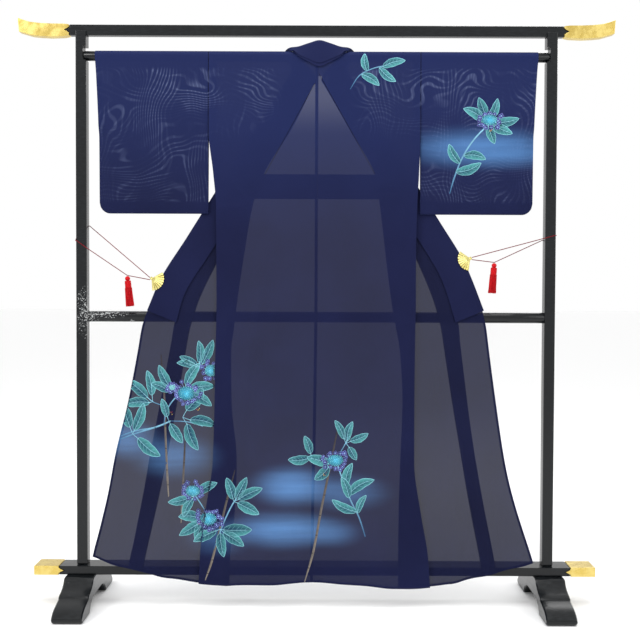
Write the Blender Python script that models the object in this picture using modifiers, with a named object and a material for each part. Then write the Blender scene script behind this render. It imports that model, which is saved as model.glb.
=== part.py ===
"""A sheer silk kimono, opened flat and hung by its sleeves on a lacquered kimono stand.

Units are metres and +Z is up. The origin is on the floor below the middle of the stand. The back of the
garment faces -Y. Left and right are those of someone who stands at -Y and looks at the garment's back.
Every panel of cloth is a thin wall round a middle surface, which the functions below work out from tables
of its edges and depths.
"""

import math
from collections import namedtuple

import bmesh
import bpy
from mathutils import Matrix, Vector

# ---------------------------------------------------------------- driving sizes

GAP = 0.0003  # between pieces that touch
WALL = 0.0012  # cloth
COLLAR_WALL = 0.0020  # the collar is folded double

CENTRE_X = -0.008  # the garment hangs a little left of the stand's middle
NECK_X = 0.0085  # the middle of the neck
NECK_HALF = 0.090
NECK_DIP = 0.044
ARMHOLE = {-1: 0.313, 1: 0.318}  # from the centre-back seam, on the left (-1) and the right (1)

BEAM_BLACK_HALF = 0.735
BEAM_HALF = 0.888
BEAM_Z = 1.718
BEAM_TALL = 0.032
BEAM_DEEP = 0.022
POST_X = 0.700
POST_WIDE = 0.032
POST_DEEP = 0.036
POST_TOP = 1.7155
POST_ROUND = 0.003
ROD_Z = 1.643
ROD_R = 0.0145
ROD_HALF = 0.6925
RAIL_Z = 0.866
RAIL_R = 0.016
RAIL_TENON = 0.012
LOW_RAIL_Z = 0.106
LOW_RAIL_TALL = 0.026
LOW_RAIL_DEEP = 0.070
LOW_RAIL_BLACK_HALF = 0.765
LOW_RAIL_HALF = 0.840
TENON_WIDE = 0.015
TENON_DEEP = 0.028
TENON_IN_FOOT = 0.030
FOOT_WIDE = 0.088
FOOT_HALF_DEEP = 0.200

CLOTH_ON_ROD = ROD_R + 0.0006 + WALL / 2  # from the rod's axis to the middle of the cloth on it
TOP_H = ROD_Z + CLOTH_ON_ROD * math.pi / 2  # heights above ROD_Z are measured over the rod
HEM_H = 0.0578

# ---------------------------------------------------------------- the garment's tables

# Heights of the rows of faces in the body panels: up to the rod, then five faces over it to its top.
ROWS = (
    HEM_H, 0.112, 0.19, 0.285, 0.39, 0.50, 0.615, 0.72, 0.825, 0.866, 0.905, 0.965, 1.029, 1.11, 1.20, 1.2915,
    1.36, 1.428, 1.50, 1.578, 1.62,
) + tuple(ROD_Z + (TOP_H - ROD_Z) * k / 5 for k in range(6))

# Distances out from the centre-back seam. side: the side seam and the armhole. fold: where the front body
# turns back on itself behind the back. seam: the seam of front body and okumi. edge: the okumi's outer edge,
# which runs under the collar above height 0.88.
Body = namedtuple("Body", "h side fold seam edge")
BODY_ROWS = {
    -1: (
        Body(TOP_H, 0.313, 0.081, 0.081, 0.100),
        Body(1.578, 0.313, 0.006, 0.006, 0.050),
        Body(1.560, 0.313, 0.0145, 0.0145, 0.056),
        Body(1.428, 0.313, 0.075, 0.075, 0.104),
        Body(1.2915, 0.298, 0.152, 0.152, 0.188),
        Body(1.200, 0.290, 0.182, 0.198, 0.245),
        Body(1.029, 0.288, 0.210, 0.288, 0.352),
        Body(0.905, 0.287, 0.227, 0.345, 0.482),
        Body(0.866, 0.2875, 0.232, 0.357, 0.5015),
        Body(0.830, 0.288, 0.236, 0.368, 0.512),
        Body(0.765, 0.290, 0.244, 0.380, 0.523),
        Body(0.615, 0.292, 0.242, 0.404, 0.551),
        Body(0.435, 0.297, 0.226, 0.436, 0.592),
        Body(0.285, 0.318, 0.231, 0.465, 0.616),
        Body(0.153, 0.333, 0.244, 0.490, 0.637),
        Body(HEM_H, 0.338, 0.247, 0.508, 0.656),
    ),
    1: (
        Body(TOP_H, 0.318, 0.099, 0.099, 0.118),
        Body(1.578, 0.318, 0.010, 0.010, 0.070),
        Body(1.560, 0.318, 0.0205, 0.0205, 0.078),
        Body(1.428, 0.318, 0.104, 0.104, 0.135),
        Body(1.2915, 0.314, 0.184, 0.184, 0.222),
        Body(1.200, 0.309, 0.199, 0.229, 0.276),
        Body(1.029, 0.306, 0.219, 0.314, 0.379),
        Body(0.905, 0.306, 0.235, 0.364, 0.500),
        Body(0.866, 0.3055, 0.242, 0.375, 0.5110),
        Body(0.840, 0.305, 0.247, 0.382, 0.517),
        Body(0.765, 0.304, 0.260, 0.394, 0.527),
        Body(0.615, 0.303, 0.268, 0.417, 0.547),
        Body(0.435, 0.303, 0.262, 0.447, 0.575),
        Body(0.285, 0.323, 0.258, 0.472, 0.606),
        Body(0.153, 0.345, 0.257, 0.494, 0.636),
        Body(HEM_H, 0.352, 0.257, 0.510, 0.661),
    ),
}

# Depths (Y) of the back, of the front body's first layer behind it, and how far behind that one the turned
# back layer and the okumi lie. The cloth passes in front of the middle rail and of the bottom rail.
Depth = namedtuple("Depth", "h back inner turn")
DEPTH_ROWS = (
    Depth(ROD_Z, -CLOTH_ON_ROD, CLOTH_ON_ROD, 0.0030),
    Depth(1.578, -0.0168, 0.0135, 0.0034),
    Depth(1.500, -0.0178, 0.0100, 0.0060),
    Depth(1.428, -0.0187, 0.0065, 0.0075),
    Depth(1.2915, -0.0207, -0.0010, 0.0075),
    Depth(1.200, -0.0223, -0.0065, 0.0075),
    Depth(1.029, -0.0262, -0.0175, 0.0075),
    Depth(0.905, -0.0298, -0.0268, 0.0075),
    Depth(0.825, -0.0315, -0.0268, 0.0075),
    Depth(0.615, -0.0360, -0.0318, 0.0075),
    Depth(0.119, -0.0485, -0.0445, 0.0075),
    Depth(0.045, -0.0490, -0.0450, 0.0075),
)

# The hem, from the left corner to the right one.
Hem = namedtuple("Hem", "x z")
HEM_ROWS = (
    Hem(-0.690, 0.158), Hem(-0.668, 0.150), Hem(-0.584, 0.121), Hem(-0.459, 0.091), Hem(-0.286, 0.067),
    Hem(-0.116, 0.070), Hem(-0.008, 0.077), Hem(0.144, 0.067), Hem(0.282, HEM_H), Hem(0.367, 0.065),
    Hem(0.455, 0.084), Hem(0.604, 0.121), Hem(0.668, 0.138), Hem(0.690, 0.144),
)

# The largest soft folds: a ridge towards -Y from (x_top, top) to (x_low, low), its half width and height.
Fold = namedtuple("Fold", "x_top top x_low low half high")
# How far the centre-back seam is drawn to the right, and the distance from it at which that has died out.
Sway = namedtuple("Sway", "h x")
SWAY_ROWS = (Sway(TOP_H, 0.0125), Sway(0.950, 0.0125), Sway(0.620, 0.0100), Sway(0.380, 0.0060), Sway(HEM_H, 0.0020))
SWAY_REACH = 0.10

BACK_FOLDS = (
    Fold(-0.130, 1.200, -0.262, 0.250, 0.022, 0.0060),
    Fold(-0.100, 0.500, -0.130, 0.050, 0.045, 0.0070),
    Fold(0.060, 0.560, 0.075, 0.050, 0.040, 0.0050),
    Fold(0.170, 0.750, 0.215, 0.050, 0.035, 0.0070),
)
FRONT_FOLDS = (
    Fold(-0.430, 0.700, -0.452, 0.080, 0.030, 0.0110),
    Fold(-0.560, 0.600, -0.600, 0.100, 0.034, 0.0090),
    Fold(0.395, 0.640, 0.420, 0.060, 0.026, 0.0100),
    Fold(0.470, 0.560, 0.520, 0.080, 0.030, 0.0120),
    Fold(0.580, 0.500, 0.620, 0.110, 0.028, 0.0070),
)

# The collar's sections, from its middle at the back neck to its end, as distance out and height of the free
# edge and of the seam. The neck's are measured from NECK_X and have depths too; below them the distances are
# from the centre-back seam, and the collar follows the panels.
Neck = namedtuple("Neck", "out y z out_seam y_seam z_seam")
NECK_ROWS = (
    Neck(0.000, -0.0140, 1.6890, 0.0000, -0.0196, 1.6190),
    Neck(0.032, -0.0130, 1.6805, 0.0340, -0.0196, 1.6310),
    Neck(0.062, -0.0110, 1.6710, 0.0620, -0.0190, 1.6440),
    Neck(0.086, -0.0060, 1.6715, 0.0780, -0.0160, 1.6570),
    Neck(0.099, 0.0080, 1.6720, 0.0860, 0.0000, 1.6660),
    Neck(0.107, 0.0250, 1.6620, 0.0800, 0.0190, 1.6585),
    Neck(0.098, 0.0300, 1.6410, 0.0620, 0.0255, 1.6380),
    Neck(0.085, 0.0280, 1.6150, 0.0380, 0.0245, 1.6100),
)
Band = namedtuple("Band", "out z out_seam z_seam")
COLLAR_ROWS = {
    -1: (
        Band(0.0840, 1.585, 0.0300, 1.550),
        Band(0.1530, 1.467, 0.0920, 1.427),
        Band(0.2330, 1.338, 0.1700, 1.298),
        Band(0.3060, 1.221, 0.2420, 1.181),
        Band(0.3820, 1.098, 0.3180, 1.058),
        Band(0.4500, 0.990, 0.3860, 0.950),
        Band(0.4950, 0.885, 0.4180, 0.853),
    ),
    1: (
        Band(0.1100, 1.585, 0.0460, 1.550),
        Band(0.1830, 1.467, 0.1190, 1.428),
        Band(0.2640, 1.338, 0.2000, 1.299),
        Band(0.3300, 1.230, 0.2660, 1.191),
        Band(0.3830, 1.146, 0.3200, 1.107),
        Band(0.4535, 1.029, 0.3890, 0.990),
        Band(0.5100, 0.888, 0.4350, 0.856),
    ),
}
COLLAR_BEHIND = 0.0042  # from the front body's first layer to the collar, which lies between its two layers
COLLAR_COLUMNS = 3
# The collar's rows, in steps of its sections: close together round the neck.
COLLAR_STEPS = (
    0, 0.5, 1, 1.5, 2, 2.5, 2.75, 3, 3.25, 3.5, 3.75, 4, 4.5, 5, 5.5, 6, 6.5, 7, 7.5, 8, 8.5, 9, 9.5, 10, 11, 12,
    12.5, 13, 13.5, 14,
)
OVERCOLLAR_ROWS = 23  # how many of them, on either side of the middle, the overcollar covers

# The sleeves: depths of the layer near -Y and of the far one, and the outer edge's distance from the middle of
# the stand.
Sleeve = namedtuple("Sleeve", "h near far reach")
SLEEVE_ROWS = (
    Sleeve(ROD_Z, -CLOTH_ON_ROD, CLOTH_ON_ROD, 0.6590),
    Sleeve(1.578, -0.0157, 0.0135, 0.6545),
    Sleeve(1.400, -0.0142, 0.0025, 0.6480),
    Sleeve(1.190, -0.0130, -0.0060, 0.6460),
    Sleeve(1.150, -0.0128, -0.0066, 0.6450),
)
SLEEVE_BOTTOM = 1.1745
SLEEVE_CORNER_R = 0.030
SLEEVE_COLUMNS = (0.0, 0.18, 0.38, 0.58, 0.76, 0.88, 0.94, 0.975, 1.0)
SLEEVE_SHARES = (0.02, 0.16, 0.32, 0.48, 0.64, 0.80, 0.92, 1.0)  # of the height from the bottom to the rod
CUFF_OPEN_H = 1.43  # the cuff is open above this height and sewn below it

TUCK_LOW, TUCK_HIGH = 1.218, 1.2915
TUCK_SHORT = 0.036  # from the tuck's end to the side seam

# The clips: the fan's pivot, and the angle of the fan's middle, anticlockwise from +X seen from -Y.
CLIP_PIVOT = {-1: (-0.4885, 0.9795), 1: (0.4600, 1.0430)}
CLIP_TURN = {-1: math.radians(-28), 1: math.radians(204)}
CLIP_R = 0.0365
CLIP_SPREAD = math.radians(58)
CLIP_PLATE = 0.0016

CORD_D = 0.0024
# Each cord runs taut from the clip, round the four corners of the post and back, with one bend that a tassel
# hangs from. A corner names its sides of the post in X (1 outer, -1 inner) and Y, its height, and the angles
# between which the cord bends there, from facing X to facing Y.
Corner = namedtuple("Corner", "out y z start end")
CORD_ENDS = {
    -1: ((-0.4945, -0.0215, 0.9830), (-0.4945, -0.0218, 0.9765)),
    1: ((0.4660, -0.0165, 1.0465), (0.4660, -0.0168, 1.0400)),
}
CORD_CORNERS = {
    -1: (
        Corner(-1, 1, 1.138, 0, 90), Corner(1, 1, 1.120, 90, 0), Corner(1, -1, 1.092, 0, 90),
        Corner(-1, -1, 1.073, 90, 90),
    ),
    1: (
        Corner(-1, -1, 1.106, 90, 90), Corner(1, -1, 1.113, 90, 0), Corner(1, 1, 1.117, 0, 90),
        Corner(-1, 1, 1.100, 90, 0),
    ),
}
TASSEL_AT = {-1: (-0.5620, -0.0212, 0.9890), 1: (0.5330, -0.0155, 1.0320)}
TASSEL_LEAN = {-1: math.radians(5), 1: math.radians(-4)}  # in the plane of the cloth
TASSEL_BELOW = {-1: 0.0095, 1: 0.0095}  # from the cord's bend to the middle of the bead
TASSEL_BEAD_R = 0.0075
TASSEL_HEAD_R = 0.0095
TASSEL_HEAD_TALL = 0.022
TASSEL_STRAND_R = 0.0013
TASSEL_STRAND_LONG = 0.061
TASSEL_RINGS = ((0.0, 1), (0.0028, 6), (0.0056, 12), (0.0083, 18))  # radius and number of strands
TASSEL_FLARE = 1.25

# ---------------------------------------------------------------- finishes

Finish = namedtuple("Finish", "colour roughness metallic")
FINISHES = {
    "silk": Finish((0.022, 0.028, 0.105), 0.55, 0.0),
    "lacquer": Finish((0.022, 0.024, 0.026), 0.18, 0.0),
    "gilt": Finish((0.75, 0.56, 0.20), 0.30, 1.0),
    "red_silk": Finish((0.50, 0.010, 0.018), 0.50, 0.0),
}


def clear_scene():
    """Removes every object of the open file."""
    for old in list(bpy.data.objects):
        bpy.data.objects.remove(old, do_unlink=True)


def collection(name):
    """A collection of the scene."""
    made = bpy.data.collections.new(name)
    bpy.context.scene.collection.children.link(made)
    return made


def material(name):
    """A plain Principled material from the table of finishes."""
    if name in bpy.data.materials:
        return bpy.data.materials[name]
    finish = FINISHES[name]
    made = bpy.data.materials.new(name)
    made.use_nodes = True
    shader = made.node_tree.nodes["Principled BSDF"]
    shader.inputs["Base Color"].default_value = (*finish.colour, 1.0)
    shader.inputs["Roughness"].default_value = finish.roughness
    shader.inputs["Metallic"].default_value = finish.metallic
    return made


clear_scene()
PARTS = collection("kimono_on_stand")
CUTTERS = collection("cutters")


# ---------------------------------------------------------------- helpers


def mesh_object(name, mesh, finish):
    """A part's object, in the collection of the parts."""
    made = bpy.data.objects.new(name, mesh)
    made.data.materials.append(material(finish))
    PARTS.objects.link(made)
    return made


def as_cutter(cutter):
    """Moves an object to the cutters, where no build reads it."""
    for home in list(cutter.users_collection):
        home.objects.unlink(cutter)
    CUTTERS.objects.link(cutter)
    cutter.hide_render = True
    cutter.display_type = "WIRE"
    return cutter


def box(name, size, centre, finish):
    """A cube primitive with its size in the mesh, so that bevels keep their width."""
    mesh = bpy.data.meshes.new(name)
    shape = bmesh.new()
    bmesh.ops.create_cube(shape, size=1.0)
    bmesh.ops.scale(shape, vec=size, verts=shape.verts)
    shape.to_mesh(mesh)
    shape.free()
    made = mesh_object(name, mesh, finish)
    made.location = centre
    return made


def rod(name, radius, length, centre, finish, axis="X", segments=24):
    """A round bar along X, or along Z."""
    mesh = bpy.data.meshes.new(name)
    shape = bmesh.new()
    bmesh.ops.create_cone(
        shape, cap_ends=True, segments=segments, radius1=radius, radius2=radius, depth=length
    )
    shape.to_mesh(mesh)
    shape.free()
    made = mesh_object(name, mesh, finish)
    made.location = centre
    if axis == "X":
        made.rotation_euler = (0.0, math.pi / 2, 0.0)
    return made


def plate(name, outline, thickness, centre, turn, finish):
    """A flat outline, filled and extruded on both sides of its plane, as a mesh."""
    curve = bpy.data.curves.new(name, "CURVE")
    curve.dimensions = "2D"
    curve.fill_mode = "BOTH"
    curve.extrude = thickness / 2
    spline = curve.splines.new("POLY")
    spline.points.add(len(outline) - 1)
    for point, (across, up) in zip(spline.points, outline):
        point.co = (across, up, 0.0, 1.0)
    spline.use_cyclic_u = True
    drawn = bpy.data.objects.new(name + "_outline", curve)
    PARTS.objects.link(drawn)
    bpy.context.view_layer.update()
    mesh = bpy.data.meshes.new_from_object(drawn.evaluated_get(bpy.context.evaluated_depsgraph_get()))
    bpy.data.objects.remove(drawn, do_unlink=True)
    shape = bmesh.new()
    shape.from_mesh(mesh)
    bmesh.ops.remove_doubles(shape, verts=shape.verts, dist=1e-5)
    shape.to_mesh(mesh)
    shape.free()
    mesh.materials.clear()
    made = mesh_object(name, mesh, finish)
    made.location = centre
    made.rotation_euler = turn
    return made


FACING_FRONT = (math.pi / 2, 0.0, 0.0)  # the outline's across and up become X and Z
FACING_SIDE = (math.pi / 2, 0.0, math.pi / 2)  # the outline's across and up become Y and Z


def bevel(piece, width, segments=2):
    """Rounds the edges sharper than 30 degrees."""
    rounding = piece.modifiers.new("rounded edges", "BEVEL")
    rounding.width = width
    rounding.segments = segments
    rounding.limit_method = "ANGLE"
    rounding.angle_limit = math.radians(30)


def combine(piece, other, operation):
    """A Boolean of a piece with a cutter."""
    as_cutter(other)
    joint = piece.modifiers.new(operation.lower(), "BOOLEAN")
    joint.operation = operation
    joint.object = other
    joint.solver = "EXACT"


def smooth(piece):
    """Smooth shading with sharp edges above 35 degrees."""
    piece.data.shade_smooth()
    piece.data.set_sharp_from_angle(angle=math.radians(35))


def ramp(value, low, high):
    """A smooth step from 0 at low to 1 at high."""
    share = min(1.0, max(0.0, (value - low) / (high - low)))
    return share * share * (3.0 - 2.0 * share)


def column(rows, key, name, at):
    """A table's column at a value of its key column, along a curve that doesn't overshoot its rows."""
    points = sorted((getattr(row, key), getattr(row, name)) for row in rows)
    if at <= points[0][0]:
        return points[0][1]
    if at >= points[-1][0]:
        return points[-1][1]
    slopes = [(b[1] - a[1]) / (b[0] - a[0]) for a, b in zip(points, points[1:])]
    index = max(i for i, point in enumerate(points[:-1]) if point[0] <= at)

    def tangent(i):
        if i == 0:
            return slopes[0]
        if i == len(points) - 1:
            return slopes[-1]
        before, after = slopes[i - 1], slopes[i]
        return 2 * before * after / (before + after) if before * after > 0 else 0.0

    (x0, y0), (x1, y1) = points[index], points[index + 1]
    span = x1 - x0
    t = (at - x0) / span
    return (
        y0 * (1 + 2 * t) * (1 - t) ** 2
        + span * tangent(index) * t * (1 - t) ** 2
        + y1 * t * t * (3 - 2 * t)
        + span * tangent(index + 1) * t * t * (t - 1)
    )


def cloth(name, grids, wall=WALL, finish="silk"):
    """Grids of faces with each point put in place by place(i, j), joined where their points meet, with a wall.

    Each grid is (columns, rows, place).
    """
    mesh = bpy.data.meshes.new(name)
    shape = bmesh.new()
    for columns, rows, place in grids:
        made = bmesh.ops.create_grid(shape, x_segments=columns - 1, y_segments=rows - 1, size=0.5)
        for vertex in made["verts"]:
            i = round((vertex.co.x + 0.5) * (columns - 1))
            j = round((vertex.co.y + 0.5) * (rows - 1))
            vertex.co = place(i, j)
    bmesh.ops.remove_doubles(shape, verts=shape.verts, dist=1e-5)
    bmesh.ops.recalc_face_normals(shape, faces=shape.faces)
    shape.to_mesh(mesh)
    shape.free()
    made = mesh_object(name, mesh, finish)
    thick = made.modifiers.new("wall", "SOLIDIFY")
    thick.thickness = wall
    thick.offset = 0.0
    thick.use_even_offset = True
    mesh.shade_smooth()
    return made


# ---------------------------------------------------------------- the garment's surfaces


def body(side, name, h):
    """A distance out from the centre-back seam, from the table of that side."""
    return column(BODY_ROWS[side], "h", name, h)


def depth(name, h):
    """A depth from the table of layers."""
    return column(DEPTH_ROWS, "h", name, h)


def ridge(folds, x, h):
    """How far the soft folds lift the cloth towards -Y at a point."""
    lift = 0.0
    for fold in folds:
        along = min(1.0, max(0.0, (fold.top - h) / (fold.top - fold.low)))
        middle = fold.x_top + (fold.x_low - fold.x_top) * along
        lift += fold.high * ramp(along, 0.0, 0.35) * math.exp(-(((x - middle) / fold.half) ** 2))
    return lift


def sway(side, out, h):
    """The place along X of a distance out: the cloth's middle is drawn to the right, most of all high up."""
    return CENTRE_X + side * out + column(SWAY_ROWS, "h", "x", h) * math.exp(-((out / SWAY_REACH) ** 2))


def hang(side, out, y, h):
    """The point at a distance out, a depth and a height; above the rod's axis the cloth bends over it."""
    x = sway(side, out, h)
    if h > ROD_Z:
        angle = (h - ROD_Z) / CLOTH_ON_ROD
        return Vector((x, y * math.cos(angle), ROD_Z + abs(y) * math.sin(angle)))
    hem = column(HEM_ROWS, "x", "z", x) - HEM_H
    return Vector((x, y, h + hem * (1.0 - ramp(h, HEM_H, 0.42))))


def back_depth(side, out, h):
    """The back's middle surface, with its folds dying out at the side seam."""
    clear = ramp(body(side, "side", h) - out, 0.0, 0.05)
    return depth("back", h) - ridge(BACK_FOLDS, CENTRE_X + side * out, h) * clear


def inner_depth(side, out, h):
    """The front body's first layer, which comes up to the back at the side seam."""
    near_seam = 1.0 - ramp(body(side, "side", h) - out, 0.0, 0.034)
    joined = near_seam * (1.0 - ramp(h, 1.21, 1.30))
    seam = back_depth(side, out, h) + WALL + GAP
    return depth("inner", h) * (1 - joined) + seam * joined


def outer_depth(side, out, h):
    """The turned back layer, the okumi and what hangs on them, with folds where no back covers them."""
    clear = ramp(out - body(side, "side", h), 0.01, 0.07)
    flat = depth("inner", h) + depth("turn", h)
    return flat - ridge(FRONT_FOLDS, CENTRE_X + side * out, h) * clear


def neckline(x):
    """The height over the rod at which the back ends, lowest in the middle of the neck."""
    return TOP_H - NECK_DIP * (1.0 - min(1.0, abs(x - NECK_X) / NECK_HALF) ** 1.6)


NECK_SHARES = (0.0, 0.30, 0.50, 0.64, 0.76, 0.85, 0.93, 1.0)  # of the half neck's width, where columns end at it
NECK_FACES = len(NECK_SHARES) - 1
FRONT_INNER, FRONT_TURN, FRONT_OUTER = 5, 4, 4  # faces across the front body's stretches
LIP = 0.010  # the front's turned edge where no okumi hangs on it


def body_panel(name, side):
    """One length of cloth: the back from its hem, over the rod beside the neck, and down as the front body.

    The front body runs in from the side seam behind the back, turns round the fold and runs out to the okumi.
    """

    def fold_end(h):
        return body(side, "fold", h) + depth("turn", h) / 2

    def back_point(i, j):
        h = ROWS[j]
        width = body(side, "side", h)
        even = width * NECK_FACES / (NECK_FACES + FRONT_INNER)
        near_neck = ramp(h, 1.45, ROD_Z)
        neck = even + (fold_end(TOP_H) - even) * near_neck
        if i < NECK_FACES:
            share = i / NECK_FACES * (1 - near_neck) + NECK_SHARES[i] * near_neck
            out = GAP / 2 + (neck - GAP / 2) * share
            h = min(h, neckline(sway(side, out, h)) - (len(ROWS) - 1 - j) * 0.0012)
        else:
            out = neck + (width - neck) * (i - NECK_FACES) / FRONT_INNER
        return hang(side, out, back_depth(side, out, h), h)

    def front_point(i, j):
        h = ROWS[j]
        fold, turn = body(side, "fold", h), depth("turn", h)
        seam = max(body(side, "seam", h) - GAP / 2, fold + LIP)
        if i <= FRONT_INNER:
            out = fold_end(h) + (body(side, "side", h) - fold_end(h)) * (FRONT_INNER - i) / FRONT_INNER
            return hang(side, out, inner_depth(side, out, h), h)
        if i < FRONT_INNER + FRONT_TURN:
            angle = math.pi * (i - FRONT_INNER) / FRONT_TURN
            out = fold + turn / 2 * (1 - math.sin(angle))
            y = inner_depth(side, out, h) + turn / 2 * (1 - math.cos(angle))
            return hang(side, out, y, h)
        out = fold_end(h) + (seam - fold_end(h)) * (i - FRONT_INNER - FRONT_TURN) / FRONT_OUTER
        return hang(side, out, outer_depth(side, out, h), h)

    back_columns = NECK_FACES + FRONT_INNER + 1
    front_columns = FRONT_INNER + FRONT_TURN + FRONT_OUTER + 1
    return cloth(name, [(back_columns, len(ROWS), back_point), (front_columns, len(ROWS), front_point)])


def tuck(name, side):
    """The length tuck folded inside the back."""
    columns, rows = 9, 3

    def place(i, j):
        h = TUCK_LOW + (TUCK_HIGH - TUCK_LOW) * j / (rows - 1)
        out = GAP / 2 + (body(side, "side", h) - TUCK_SHORT - GAP / 2) * i / (columns - 1)
        return hang(side, out, back_depth(side, out, h) + WALL + GAP * 2, h)

    return cloth(name, [(columns, rows, place)])


OKUMI_ROWS = ROWS[:18]  # up to the okumi's point


def okumi(name, side):
    """An overlap panel, from the hem to its point under the collar."""
    columns = 5

    def place(i, j):
        h = OKUMI_ROWS[j]
        seam = max(body(side, "seam", h), body(side, "fold", h) + LIP) + GAP / 2 + GAP
        out = seam + (body(side, "edge", h) - seam) * i / (columns - 1)
        return hang(side, out, outer_depth(side, out, h), h)

    return cloth(name, [(columns, len(OKUMI_ROWS), place)])


def spline_point(points, place):
    """A point of a smooth curve through points: place 1.5 is halfway from the second to the third."""
    i = min(int(place), len(points) - 2)
    t = place - i
    before = points[i - 1] if i > 0 else points[i] * 2 - points[i + 1]
    after = points[i + 2] if i + 2 < len(points) else points[i + 1] * 2 - points[i]
    a, b = points[i], points[i + 1]
    return 0.5 * (
        2 * a + (b - before) * t + (2 * before - 5 * a + 4 * b - after) * t * t
        + (3 * a - before - 3 * b + after) * t ** 3
    )


def collar_edges(side):
    """The free edge's and the seam's points on one side, from the middle of the back neck to the end."""
    free, sewn = [], []
    for row in NECK_ROWS:
        free.append(Vector((NECK_X + side * row.out, row.y, row.z)))
        sewn.append(Vector((NECK_X + side * row.out_seam, row.y_seam, row.z_seam)))
    for row in COLLAR_ROWS[side]:
        free.append(Vector((sway(side, row.out, row.z), depth("inner", row.z) + COLLAR_BEHIND, row.z)))
        behind = depth("inner", row.z_seam) + COLLAR_BEHIND
        sewn.append(Vector((sway(side, row.out_seam, row.z_seam), behind, row.z_seam)))
    return free, sewn


COLLAR_EDGES = {side: collar_edges(side) for side in (-1, 1)}
COLLAR_ROW_COUNT = 2 * len(COLLAR_STEPS) - 1


def collar_point(row, across):
    """A point of the collar's middle surface; rows run from the left end to the right one."""
    side = -1 if row < len(COLLAR_STEPS) - 1 else 1
    place = abs(row - (len(COLLAR_STEPS) - 1))
    whole = min(int(place), len(COLLAR_STEPS) - 2)
    step = COLLAR_STEPS[whole] + (COLLAR_STEPS[whole + 1] - COLLAR_STEPS[whole]) * (place - whole)
    free, sewn = COLLAR_EDGES[side]
    mirror = Vector((2 * NECK_X - free[1].x, free[1].y, free[1].z))
    mirror_sewn = Vector((2 * NECK_X - sewn[1].x, sewn[1].y, sewn[1].z))
    point = spline_point([mirror_sewn] + sewn, step + 1).lerp(spline_point([mirror] + free, step + 1), across)
    on_panel = 1.0 - ramp(point.z, 1.50, 1.585)
    point.y = point.y * (1 - on_panel) + (depth("inner", point.z) + COLLAR_BEHIND) * on_panel
    return point


def collar(name):
    """The folded band round the neck and down to both collar ends."""

    def place(i, j):
        return collar_point(j, i / COLLAR_COLUMNS)

    return cloth(name, [(COLLAR_COLUMNS + 1, COLLAR_ROW_COUNT, place)], wall=COLLAR_WALL)


def overcollar(name):
    """The cover over the collar's middle, from the collar's points moved out, further where it turns at the neck."""
    first = len(COLLAR_STEPS) - 1 - OVERCOLLAR_ROWS
    middle = len(COLLAR_STEPS) - 1
    touching = COLLAR_WALL / 2 + GAP * 2 + WALL / 2

    def place(i, j):
        row, across = first + j, 0.02 + 0.96 * i / COLLAR_COLUMNS
        along_way = collar_point(row + 0.1, across) - collar_point(row - 0.1, across)
        across_way = collar_point(row, across + 0.05) - collar_point(row, across - 0.05)
        away = touching + 0.0016 * math.exp(-(((abs(row - middle) - 8) / 3.0) ** 2))
        return collar_point(row, across) + along_way.cross(across_way).normalized() * away

    return cloth(name, [(COLLAR_COLUMNS + 1, 2 * OVERCOLLAR_ROWS + 1, place)])


def sleeve_edge(side, h):
    """The sleeve's outer edge, as a distance out from the centre-back seam."""
    return column(SLEEVE_ROWS, "h", "reach", h) - side * CENTRE_X


def sleeve(name, side):
    """A flat tube over the rod, open at the body side and, above its sewn part, at the cuff."""
    inner = ARMHOLE[side] + GAP
    near_up = [("near", share) for share in SLEEVE_SHARES]
    over = [("over", k / 9) for k in range(1, 9)]
    far_down = [("far", share) for share in reversed(SLEEVE_SHARES)]
    under = [("under", share) for share in (0.33, 0.67)]
    loop = near_up + over + far_down + under

    def place(i, j):
        part, share = loop[j % len(loop)]
        column_share = SLEEVE_COLUMNS[i]
        width = sleeve_edge(side, SLEEVE_BOTTOM) - inner
        past = min(SLEEVE_CORNER_R, max(0.0, column_share * width - (width - SLEEVE_CORNER_R)))
        low = SLEEVE_BOTTOM + SLEEVE_CORNER_R - math.sqrt(SLEEVE_CORNER_R ** 2 - past ** 2)
        h = low + (ROD_Z - low) * (share if part in ("near", "far") else 1.0 if part == "over" else 0.0)
        out = inner + (sleeve_edge(side, h) - inner) * column_share
        near, far = column(SLEEVE_ROWS, "h", "near", h), column(SLEEVE_ROWS, "h", "far", h)
        sewn = ramp(column_share, 0.90, 1.0) * (1.0 - ramp(h, CUFF_OPEN_H - 0.03, CUFF_OPEN_H + 0.01))
        middle, half = (near + far) / 2, (far - near) / 2
        half = half * (1 - sewn) + (WALL + GAP) / 2 * 1.1 * sewn
        x = CENTRE_X + side * out
        if part == "over":
            angle = math.pi * share
            return Vector((x, -half * math.cos(angle), ROD_Z + half * math.sin(angle)))
        if part == "under":
            angle = math.pi * share
            drop = half * 0.8
            return Vector((x, middle + half * math.cos(angle), h - drop * math.sin(angle)))
        return Vector((x, middle + (half if part == "far" else -half), h))

    return cloth(name, [(len(SLEEVE_COLUMNS), len(loop) + 1, place)])


# ---------------------------------------------------------------- the stand


def arrow_outline(half, tall, reach, side):
    """The border between black and gilt: a step with a point at its middle, from low to high."""
    neck = 0.0046
    return [
        (side * half, -tall / 2),
        (side * half, -neck * 1.9),
        (side * (half + reach * 0.35), -neck),
        (side * (half + reach), 0.0),
        (side * (half + reach * 0.35), neck),
        (side * half, neck * 1.9),
        (side * half, tall / 2),
    ]


BORDER_REACH = 0.016


def top_beam():
    """The black beam, whose ends point into the gilt tips."""
    right = arrow_outline(BEAM_BLACK_HALF, BEAM_TALL, BORDER_REACH, 1)
    left = arrow_outline(BEAM_BLACK_HALF, BEAM_TALL, BORDER_REACH, -1)
    outline = right + left[::-1]
    made = plate("top_beam", outline, BEAM_DEEP, (0.0, 0.0, BEAM_Z), FACING_FRONT, "lacquer")
    bevel(made, 0.0025)
    smooth(made)


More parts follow.
